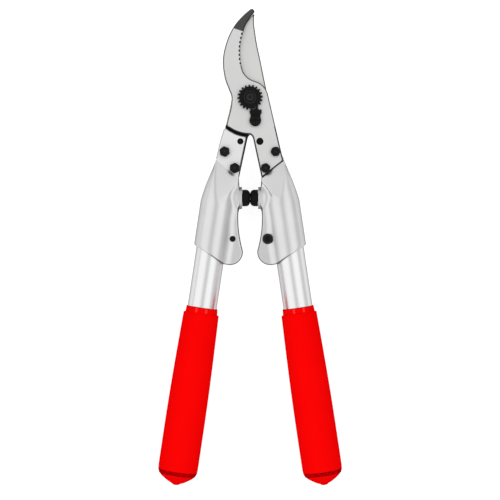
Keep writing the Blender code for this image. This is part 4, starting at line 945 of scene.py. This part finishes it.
# The boss ends in a turned flange, sunk in it, with the pocket for the buffer's stem
profile = eased([
    (0.0076, -BOSS_RIM - 0.0008, 0), (BOSS_RADIUS, -BOSS_RIM, 0.0003), (BOSS_RADIUS, 0, 0.0005),
    (POCKET_RADIUS, 0, 0.0002), (POCKET_RADIUS, -POCKET_DEPTH, 0.0002),
    (POCKET_RADIUS + 0.0008, -POCKET_DEPTH, 0)])
rows = np.repeat(profile[:, :1], ROUND_SIDES, axis=1)
flange, flange_faces = spun(rows, profile[:, 1], (BUFFER_SEAT_X - 0.00015, BUFFER_Y, 0), (1, 0, 0), (0, 1, 0))
if signed_volume(flange, flange_faces) * signed_volume(points, faces) < 0:
    flange_faces = [corners[:, ::-1] for corners in flange_faces]
faces = faces + [corners + len(points) for corners in flange_faces]
points = np.concatenate([points, flange])
# The flange is painted darker away from its middle: painted shade.
flange_shade = np.clip((np.abs(flange[:, 1] - BUFFER_Y) - 0.0066) / 0.0022, 0, 1) * 0.85
marks = {"trimmed": np.concatenate([trimmed, flange_shade]),
         "faced": np.concatenate([faced, np.zeros(len(flange))])}
past = (points[:, :2] - diagonal_middle) @ away
tucked = np.clip((-0.0175 - points[:, 0]) / 0.006, 0, 1) * np.clip((-0.0005 - past) / 0.004, 0, 1)
for side, (body, turn) in SIDES.items():
    shaped = points.copy()
    if side == "right":
        shaped[:, 0] += LUG_TUCK * tucked
    piece(f"{side}_bracket_forging", shaped * turn + (0, 0, PIVOT_Z), faces, casting, body,
          [f"{side}_bracket"], marks)


# Blade bolts, nuts and pins
# M5 hexagon bolts through lug and tang, blacked, their corners turned down at 30 degrees, with rolled
# threads; a stepped pin beside them takes the shear. In front lie heads on the left, nuts on the right.
HEX_HALF_FLATS = 0.0040
HEX_WORN_RADIUS = 0.0039
NUT_HALF_FLATS = 0.0038
NUT_WORN_RADIUS = 0.0034
HEX_HEAD_HEIGHT = 0.0035
HEX_NUT_HEIGHT = 0.0040
M5_RADIUS, M5_PITCH, M5_DEPTH = 0.0025, 0.0008, 0.00040
PIN_RADIUS, PIN_FOOT_RADIUS = 0.0022, 0.0027
PIN_HOLLOW_DEPTH = 0.0018
PIN_TURN = 0.2
BOLT_TURNS = {"upper": math.radians(8), "lower": math.radians(-5)}


def hexagon_radius(sides, half_flats, corner=1.135):
    """Radius of a hexagon with its corners broken: half the flats over the cosine from each flat's middle."""
    angle = np.linspace(0, 2 * np.pi, sides, endpoint=False)
    from_flat = (angle + np.pi / 6) % (np.pi / 3) - np.pi / 6
    return np.minimum(half_flats / np.cos(from_flat), half_flats * corner)


def hexagon_rows(profile, worn_radius, worn_at, sign, half_flats, corner=1.135):
    """Rows of a hexagon head: at each height the smaller of the hexagon and of the 30 degree cone."""
    cone = worn_radius + sign * (worn_at - profile[:, 1]) / math.tan(math.radians(30))
    outer = np.minimum(hexagon_radius(ROUND_SIDES, half_flats, corner)[None, :], np.maximum(cone, 0)[:, None])
    return np.where(profile[:, :1] > half_flats * 0.98, outer, profile[:, :1])


def in_pair(name, node, points, faces, material, marks=()):
    """A piece of the left side, given about the shear plane, and its twin turned over on the right."""
    for side, (body, turn) in SIDES.items():
        piece(f"{side}_{name}", points * turn + (0, 0, PIVOT_Z), faces, material, body,
              [f"{side}_{node}"], marks)


def fastener_pair(name, node, rows, height, at, turn_angle, rings=(), material=blacked):
    """A spun fastener along Z at a point of the left side, and its twin on the right."""
    across = (math.cos(turn_angle), math.sin(turn_angle), 0)
    points, faces = spun(rows, height, (*at, 0), (0, 0, 1), across)
    in_pair(name, node, points, faces, material, {"worn": glint_rings(points, at, rings)})


head_low = LUG_FACE + SEAT_GAP
head_high = head_low + HEX_HEAD_HEIGHT
nut_top = -PLATE_FACE - SEAT_GAP
nut_end = nut_top - HEX_NUT_HEIGHT
bolt_low = nut_end - 0.0008
for key, at in BLADE_BOLTS.items():
    profile = eased([
        (0, head_high - 0.00025, 0), (0.0024, head_high - 0.00025, 0.0003), (0.0030, head_high, 0.0003),
        (HEX_WORN_RADIUS, head_high, 0.0002), (HEX_HALF_FLATS, head_high - 0.0001, 0.00005),
        (HEX_HALF_FLATS, head_low + 0.0002, 0.0001), (0.0037, head_low, 0.0001),
        (M5_RADIUS, head_low, 0.0001), (M5_RADIUS, bolt_low + 0.0004, 0.0001), (0.0020, bolt_low, 0.0002),
        (0, bolt_low, 0)])
    profile = fill_rows(profile, 0.00012)
    height = profile[:, 1]
    rows = hexagon_rows(profile, HEX_WORN_RADIUS, head_high, 1, HEX_HALF_FLATS)
    shank = threaded(profile[:, 0], height, ROUND_SIDES, M5_PITCH, M5_DEPTH, bolt_low + 0.00005,
                     nut_top + 0.001)
    rows = np.where(height[:, None] < head_low - 0.0001, shank, rows)
    fastener_pair(f"blade_bolt_{key}_hex", f"blade_bolt_{key}", rows, height, at, BOLT_TURNS[key],
                  [(0, 0.0011, 0.25)], bolt_black)
    profile = eased([
        (M5_RADIUS + THREAD_PLAY / 2, nut_top, 0), (NUT_HALF_FLATS, nut_top, 0.00005),
        (NUT_HALF_FLATS, nut_end + 0.0001, 0.00005), (NUT_WORN_RADIUS, nut_end, 0.0002),
        (0.0031, nut_end, 0.0002), (M5_RADIUS + THREAD_PLAY / 2, nut_end + 0.0006, 0)])
    profile = fill_rows(profile, 0.00014)
    rows = hexagon_rows(profile, NUT_WORN_RADIUS, nut_end, -1, NUT_HALF_FLATS, 1.07)
    fastener_pair(f"blade_nut_{key}_hex", f"blade_nut_{key}", rows, profile[:, 1], at,
                  BOLT_TURNS[key] + math.radians(14), [(0.0030, 0.0007, 0.50)])

profile = eased([
    (0, LUG_FACE, 0), (PIN_RADIUS, LUG_FACE, 0.0003), (PIN_RADIUS, -LEVEL, 0.0001),
    (PIN_FOOT_RADIUS, -LEVEL, 0.0001), (PIN_FOOT_RADIUS, -PLATE_FACE, 0.0003), (0.00135, -PLATE_FACE, 0.0002),
    (0.00125, -PLATE_FACE + 0.0015, 0.0001), (0, -PLATE_FACE + PIN_HOLLOW_DEPTH, 0)])
profile = fill_rows(profile, 0.0006)
rows = np.repeat(profile[:, :1], ROUND_SIDES, axis=1)
hollow = (profile[:, 0] < 0.0014) & (profile[:, 1] < 0) & (profile[:, 0] > 0)
rows[hollow] *= hexagon_radius(ROUND_SIDES, 1.0)
fastener_pair("locating_pin_stepped", "locating_pin", rows, profile[:, 1], PIN_AT, PIN_TURN)


# Clamp screws
# M4.5 socket head cap screws that pull the bracket's ears together on the tube: a knurled head with a
# hexagon socket sunk in one ear, its rolled thread ending flush in the other.
CLAMP_HEAD_RADIUS = 0.0039
CLAMP_HEAD_HEIGHT = 0.0036
CLAMP_SINK = 0.0022            # from the ear's face down to the head's seat
CLAMP_THREAD_RADIUS, CLAMP_PITCH, CLAMP_DEPTH = 0.0020, 0.00075, 0.00036
CLAMP_SOCKET_RADIUS, CLAMP_SOCKET_HALF_FLATS = 0.0022, 0.0019
CLAMP_TURN = 0.15
KNURLS, KNURL_DEPTH = 32, 0.00016

clamp_top = CLAMP_SINK - EAR_FACE - SEAT_GAP
clamp_low = clamp_top - CLAMP_HEAD_HEIGHT
profile = eased([
    (0, EAR_FACE, 0), (0.0016, EAR_FACE, 0.0002), (CLAMP_THREAD_RADIUS, EAR_FACE - 0.0004, 0.0001),
    (CLAMP_THREAD_RADIUS, clamp_top, 0.0001), (CLAMP_HEAD_RADIUS, clamp_top, 0.0002),
    (CLAMP_HEAD_RADIUS, clamp_low, 0.0006), (0.0026, clamp_low, 0.0003),
    (CLAMP_SOCKET_RADIUS, clamp_low + 0.0003, 0.0001), (CLAMP_SOCKET_RADIUS, clamp_low + 0.0022, 0.0001),
    (0, clamp_low + 0.0028, 0)])
profile = fill_rows(profile, 0.00013)
height = profile[:, 1]
rows = threaded(profile[:, 0], height, ROUND_SIDES * 2, CLAMP_PITCH, CLAMP_DEPTH, EAR_FACE - 0.006,
                EAR_FACE - 0.00005)
socket_rows = (height < clamp_low + 0.0024) & (height > clamp_low + 0.0001)
socket_rows &= profile[:, 0] < CLAMP_SOCKET_RADIUS + 0.00005
socket_rows &= np.arange(len(height)) > len(height) // 2
to_flats = hexagon_radius(ROUND_SIDES * 2, CLAMP_SOCKET_HALF_FLATS) / CLAMP_SOCKET_RADIUS
rows[socket_rows] = profile[socket_rows, :1] * to_flats
turn = np.linspace(0, 2 * np.pi, ROUND_SIDES * 2, endpoint=False)
knurled = (profile[:, 0] > CLAMP_HEAD_RADIUS - 0.00001) & (height > clamp_low + 0.0011)
knurled &= height < clamp_top - 0.0004
rows[knurled] -= KNURL_DEPTH * (0.5 + 0.5 * np.cos(turn * KNURLS))
fastener_pair("clamp_screw_socket", "clamp_screw", rows, height, clamp_at, CLAMP_TURN,
              [(0.0031, 0.0007, 0.15)], bolt_black)


# Buffers
# Moulded black rubber stops that meet when the jaw is shut: a rounded button with a flattened nose,
# its stem pressed into the bracket's boss.
BUFFER_RADIUS = 0.0070
BUFFER_NOSE = 0.0034
BUFFER_STRAIGHT = 0.0030
BUFFER_LENGTH = 0.00659
STEM_RADIUS, STEM_LENGTH = 0.0035, 0.0060

rubber, tree, shader = finish("moulded_rubber", (0.0035, 0.0035, 0.0035), 0.60, 0.0, 0.12)
grains = grained(tree, shader, 1500.0, 160.0, (0.52, 0.72), (0.00003, 0.5))
tree.links.new(blend_colours(tree, grains["Mottle"], (0.0022, 0.0022, 0.0022), (0.0055, 0.0055, 0.0055)),
               shader.inputs["Base Color"])

quarter = np.linspace(0, np.pi / 2, 20)
dome = np.stack([BUFFER_NOSE + (BUFFER_RADIUS - BUFFER_NOSE) * np.sin(quarter),
                 BUFFER_STRAIGHT + (BUFFER_LENGTH - BUFFER_STRAIGHT) * np.cos(quarter)], -1)
stem = eased([(BUFFER_RADIUS, BUFFER_STRAIGHT - 0.0001, 0), (BUFFER_RADIUS, 0, 0.0003),
              (STEM_RADIUS, 0, 0.0002), (STEM_RADIUS, -STEM_LENGTH, 0.0004), (0, -STEM_LENGTH, 0)])
profile = np.concatenate([[(0, BUFFER_LENGTH), (BUFFER_NOSE * 0.9, BUFFER_LENGTH)], dome, stem])
rows = np.repeat(profile[:, :1], ROUND_SIDES, axis=1)
points, faces = spun(rows, profile[:, 1], (BUFFER_SEAT_X + 0.00005, BUFFER_Y, 0), (1, 0, 0), (0, 1, 0))
in_pair("buffer_moulded", "bumper", points, faces, rubber)


# Handle tubes
# Drawn aluminium tube, 24.5 mm across with a 1.6 mm wall, clamped in the bracket's socket.
# Drawing leaves it bright, with faint lines along its length.
TUBE_WALL = 0.0016
TUBE_SPAN = (0.0963, 0.3107)            # down the handle axis
HANDLE_SIDES = 160
HANDLE_SHIFT = 0.0002                   # the handles lie this much nearer to the middle than the sockets

drawn_alloy, tree, shader = finish("drawn_alloy", (0.77, 0.77, 0.775), 0.30, 1.0, grazing=0.3)
place = shader_node(tree, "ShaderNodeTexCoord").outputs["Object"]
grains = use_group(tree, grain, {"Fine": 3000.0, "Broad": 40.0})
tree.links.new(blend_colours(tree, grains["Mottle"], (0.755, 0.755, 0.76), (0.785, 0.785, 0.79)),
               shader.inputs["Base Color"])
along = shader_node(tree, "ShaderNodeSeparateXYZ", {0: place}).outputs["Y"]
scratch = shader_node(tree, "ShaderNodeCombineXYZ",
                      {0: maths(tree, "MULTIPLY", painted(tree, "around"), 130.0),
                       1: maths(tree, "MULTIPLY", along, 9.0)})
lines = shader_node(tree, "ShaderNodeTexNoise", {"Vector": scratch.outputs[0], "Scale": 1.0, "Detail": 4.0})
tree.links.new(spread(tree, lines.outputs["Fac"], 0.23, 0.32), shader.inputs["Roughness"])
bump(tree, shader, lines.outputs["Fac"], 0.000006, 0.5)


def round_handle(profile):
    """Points and faces of a skin round the left handle's axis from (radius, distance down it) pairs."""
    rows = np.repeat(profile[:, :1], HANDLE_SIDES, axis=1)
    origin = (HANDLE_SHIFT - HANDLE_OFFSET, 0, 0)
    return spun(rows, profile[:, 1], origin, (*-handle_up, 0), (*handle_in, 0))


inner = TUBE_RADIUS - TUBE_WALL
middle = (TUBE_SPAN[0] + TUBE_SPAN[1]) / 2
profile = eased([
    (TUBE_RADIUS, middle, 0), (TUBE_RADIUS, TUBE_SPAN[0], 0.0003), (inner, TUBE_SPAN[0], 0.0003),
    (inner, TUBE_SPAN[1], 0.0003), (TUBE_RADIUS, TUBE_SPAN[1], 0.0003), (TUBE_RADIUS, middle + 0.001, 0)])
points, faces = round_handle(profile)
down, inward = handle_frame(points[:, 0], points[:, 1])
in_pair("tube_drawn", "tube", points, faces, drawn_alloy,
        {"around": np.abs(np.arctan2(points[:, 2], inward))})


# Grips
# Dip-moulded red vinyl sleeves, smooth and soft, pulled over the tube: a stepped collar, a long swell
# to 33.8 mm and a blunt cone at the closed end.
GRIP_TOP = 0.1777               # down the handle axis
GRIP_LENGTH = 0.1510
COLLAR_RADIUS = 0.0134
COLLAR_LENGTH = 0.0050
RIB_ANGLE, RIB_HALF_WIDTH = 18, 3.4      # degrees: off the front and the back, and half a rib
RIB_HEIGHT = 0.0003
GRIP_NECK_RADIUS = 0.0147
GRIP_RADIUS = 0.0167
GRIP_SWELL = 0.1050
GRIP_END = 0.0128
GRIP_BORE_RADIUS = TUBE_RADIUS + 0.0003

vinyl, tree, shader = finish("dipped_vinyl", (0.985, 0.0016, 0.0016), 0.55, 0.0, 0.0)
grains = grained(tree, shader, 900.0, 24.0, (0.44, 0.58), (0.00005, 0.35))
red = blend_colours(tree, spread(tree, grains["Mottle"], 0.0, 1.0),
                    (0.97, 0.0014, 0.0014), (1.0, 0.0018, 0.0018))
# The collar's ribs are painted a paler red: a painted highlight.
red = blend_colours(tree, painted(tree, "rib"), red, (1.0, 0.045, 0.035))
# A dark red line along the collar's top edge: painted shadow.
tree.links.new(blend_colours(tree, painted(tree, "lip"), red, (0.30, 0.0, 0.0)), shader.inputs["Base Color"])

swell = np.linspace(COLLAR_LENGTH + 0.0008, GRIP_SWELL, 40)
swelling = GRIP_NECK_RADIUS + (GRIP_RADIUS - GRIP_NECK_RADIUS) * np.sin(swell / GRIP_SWELL * np.pi / 2)
sleeve = np.stack([swelling, GRIP_TOP + swell], -1)
cone = eased([(GRIP_RADIUS, GRIP_TOP + 0.1100, 0), (GRIP_RADIUS, GRIP_TOP + GRIP_LENGTH - GRIP_END, 0.0030),
              (0.0150, GRIP_TOP + 0.1428, 0.0035), (0.0070, GRIP_TOP + 0.1482, 0.0022),
              (0.0036, GRIP_TOP + 0.1496, 0.0008), (0.0022, GRIP_TOP + 0.1507, 0.0008),
              (0, GRIP_TOP + GRIP_LENGTH, 0)], 8)
collar = eased([(GRIP_BORE_RADIUS, GRIP_TOP + 0.03, 0), (GRIP_BORE_RADIUS, GRIP_TOP, 0.0003),
                (COLLAR_RADIUS - 0.0003, GRIP_TOP, 0.0004),
                (COLLAR_RADIUS - 0.0002, GRIP_TOP + 0.0010, 0.0001),
                (COLLAR_RADIUS, GRIP_TOP + 0.0040, 0.0001),
                (COLLAR_RADIUS, GRIP_TOP + COLLAR_LENGTH, 0.0003),
                (GRIP_NECK_RADIUS + 0.00006, GRIP_TOP + COLLAR_LENGTH + 0.0001, 0.0004),
                (GRIP_NECK_RADIUS + 0.0001, GRIP_TOP + COLLAR_LENGTH + 0.0007, 0)])
floor = TUBE_SPAN[1] + 0.0003
profile = np.concatenate([[(0, floor), (GRIP_BORE_RADIUS, floor)], collar, sleeve, cone])
points, faces = round_handle(profile)

# Four small ribs stand on the collar, two in front and two behind, away from the handle's axis
down, inward = handle_frame(points[:, 0], points[:, 1])
from_front = np.abs(np.abs(np.degrees(np.arctan2(points[:, 2], inward))) - 90)
reach = np.hypot(points[:, 2], inward)
outside = reach > GRIP_BORE_RADIUS + 0.0003
rib = (np.abs(from_front - RIB_ANGLE) < RIB_HALF_WIDTH) & outside
rib &= (down > GRIP_TOP + 0.0005) & (down < GRIP_TOP + COLLAR_LENGTH - 0.0006)
raised = 1 + rib * RIB_HEIGHT / reach.clip(0.001)
axis_point = points - np.stack([handle_in[0] * inward, handle_in[1] * inward, points[:, 2]], -1)
points = axis_point + (points - axis_point) * raised[:, None]
in_pair("grip_sleeve", "grip", points, faces, vinyl,
        {"rib": rib * 1.0, "lip": ((down < GRIP_TOP + 0.0004) & outside) * 1.0})


# Studio
# A plain white floor under the object, two long soft boxes overhead with a gap between them, a pale room.
# The camera looks straight down as in the photograph.
FRAME_SIZE = 0.420             # what the picture takes in, at the shear plane
FRAME_MIDDLE = (-0.00008, -0.1276)
LENS, SENSOR = 135.0, 36.0
FLOOR_Z = cad_box[0][2] - 0.0001
SOFT_BOXES = {"left": (-78, -18, 0.46), "right": (9, 57, 0.49)}     # degrees off overhead, radiance
BOX_DISTANCE = 2.0
BOX_ENDS = (-2.6, 1.3)         # along the object's length
ROOM_GLOW = 0.72
FLOOR_GLOW, MIRRORED_GLOW = 0.79, 0.60       # the floor's own light, to the camera and to mirrors
FLOOR_REACH = 3.0

scene = bpy.context.scene
scene.view_settings.view_transform = "Standard"
world = bpy.data.worlds.new("room")
world.use_nodes = True
world.node_tree.nodes["Background"].inputs["Color"].default_value = (1, 1, 1, 1)
world.node_tree.nodes["Background"].inputs["Strength"].default_value = ROOM_GLOW
scene.world = world

for side, (start, stop, radiance) in SOFT_BOXES.items():
    angles = np.radians([start, stop])
    ends = np.stack([np.sin(angles), np.cos(angles)], -1) * BOX_DISTANCE
    middle, width = (ends[0] + ends[1]) / 2, np.linalg.norm(ends[1] - ends[0])
    lamp = bpy.data.lights.new(f"soft_box_{side}", "AREA")
    lamp.shape = "RECTANGLE"
    lamp.size, lamp.size_y = width, BOX_ENDS[1] - BOX_ENDS[0]
    lamp.energy = radiance * math.pi * lamp.size * lamp.size_y
    holder = bpy.data.objects.new(f"soft_box_{side}", lamp)
    holder.location = (middle[0], sum(BOX_ENDS) / 2, middle[1])
    holder.rotation_euler = (0, math.atan2(middle[0], middle[1]), 0)
    holder.visible_camera = False
    scene.collection.objects.link(holder)

paper, tree, shader = finish("white_paper", (0.50, 0.50, 0.50), 0.9, 0.0, 0.1)
light_path = shader_node(tree, "ShaderNodeLightPath").outputs
mirrored = maths(tree, "MAXIMUM", light_path["Is Glossy Ray"], light_path["Is Transmission Ray"])
seen = maths(tree, "ADD", maths(tree, "MULTIPLY", light_path["Is Camera Ray"], FLOOR_GLOW),
             maths(tree, "MULTIPLY", mirrored, MIRRORED_GLOW))
shader.inputs["Emission Color"].default_value = (1, 1, 1, 1)
tree.links.new(seen, shader.inputs["Emission Strength"])
mesh = bpy.data.meshes.new("floor")
corners = [(FLOOR_REACH * x, FLOOR_REACH * y, FLOOR_Z) for x, y in ((-1, -1), (1, -1), (1, 1), (-1, 1))]
mesh.from_pydata(corners, [], [(0, 1, 2, 3)])
mesh.materials.append(paper)
floor_sheet = bpy.data.objects.new("floor", mesh)
scene.collection.objects.link(floor_sheet)

lens = bpy.data.cameras.new("camera")
lens.lens, lens.sensor_width = LENS, SENSOR
camera = bpy.data.objects.new("camera", lens)
camera.location = (*FRAME_MIDDLE, PIVOT_Z + FRAME_SIZE * LENS / SENSOR)
scene.collection.objects.link(camera)
scene.camera = camera
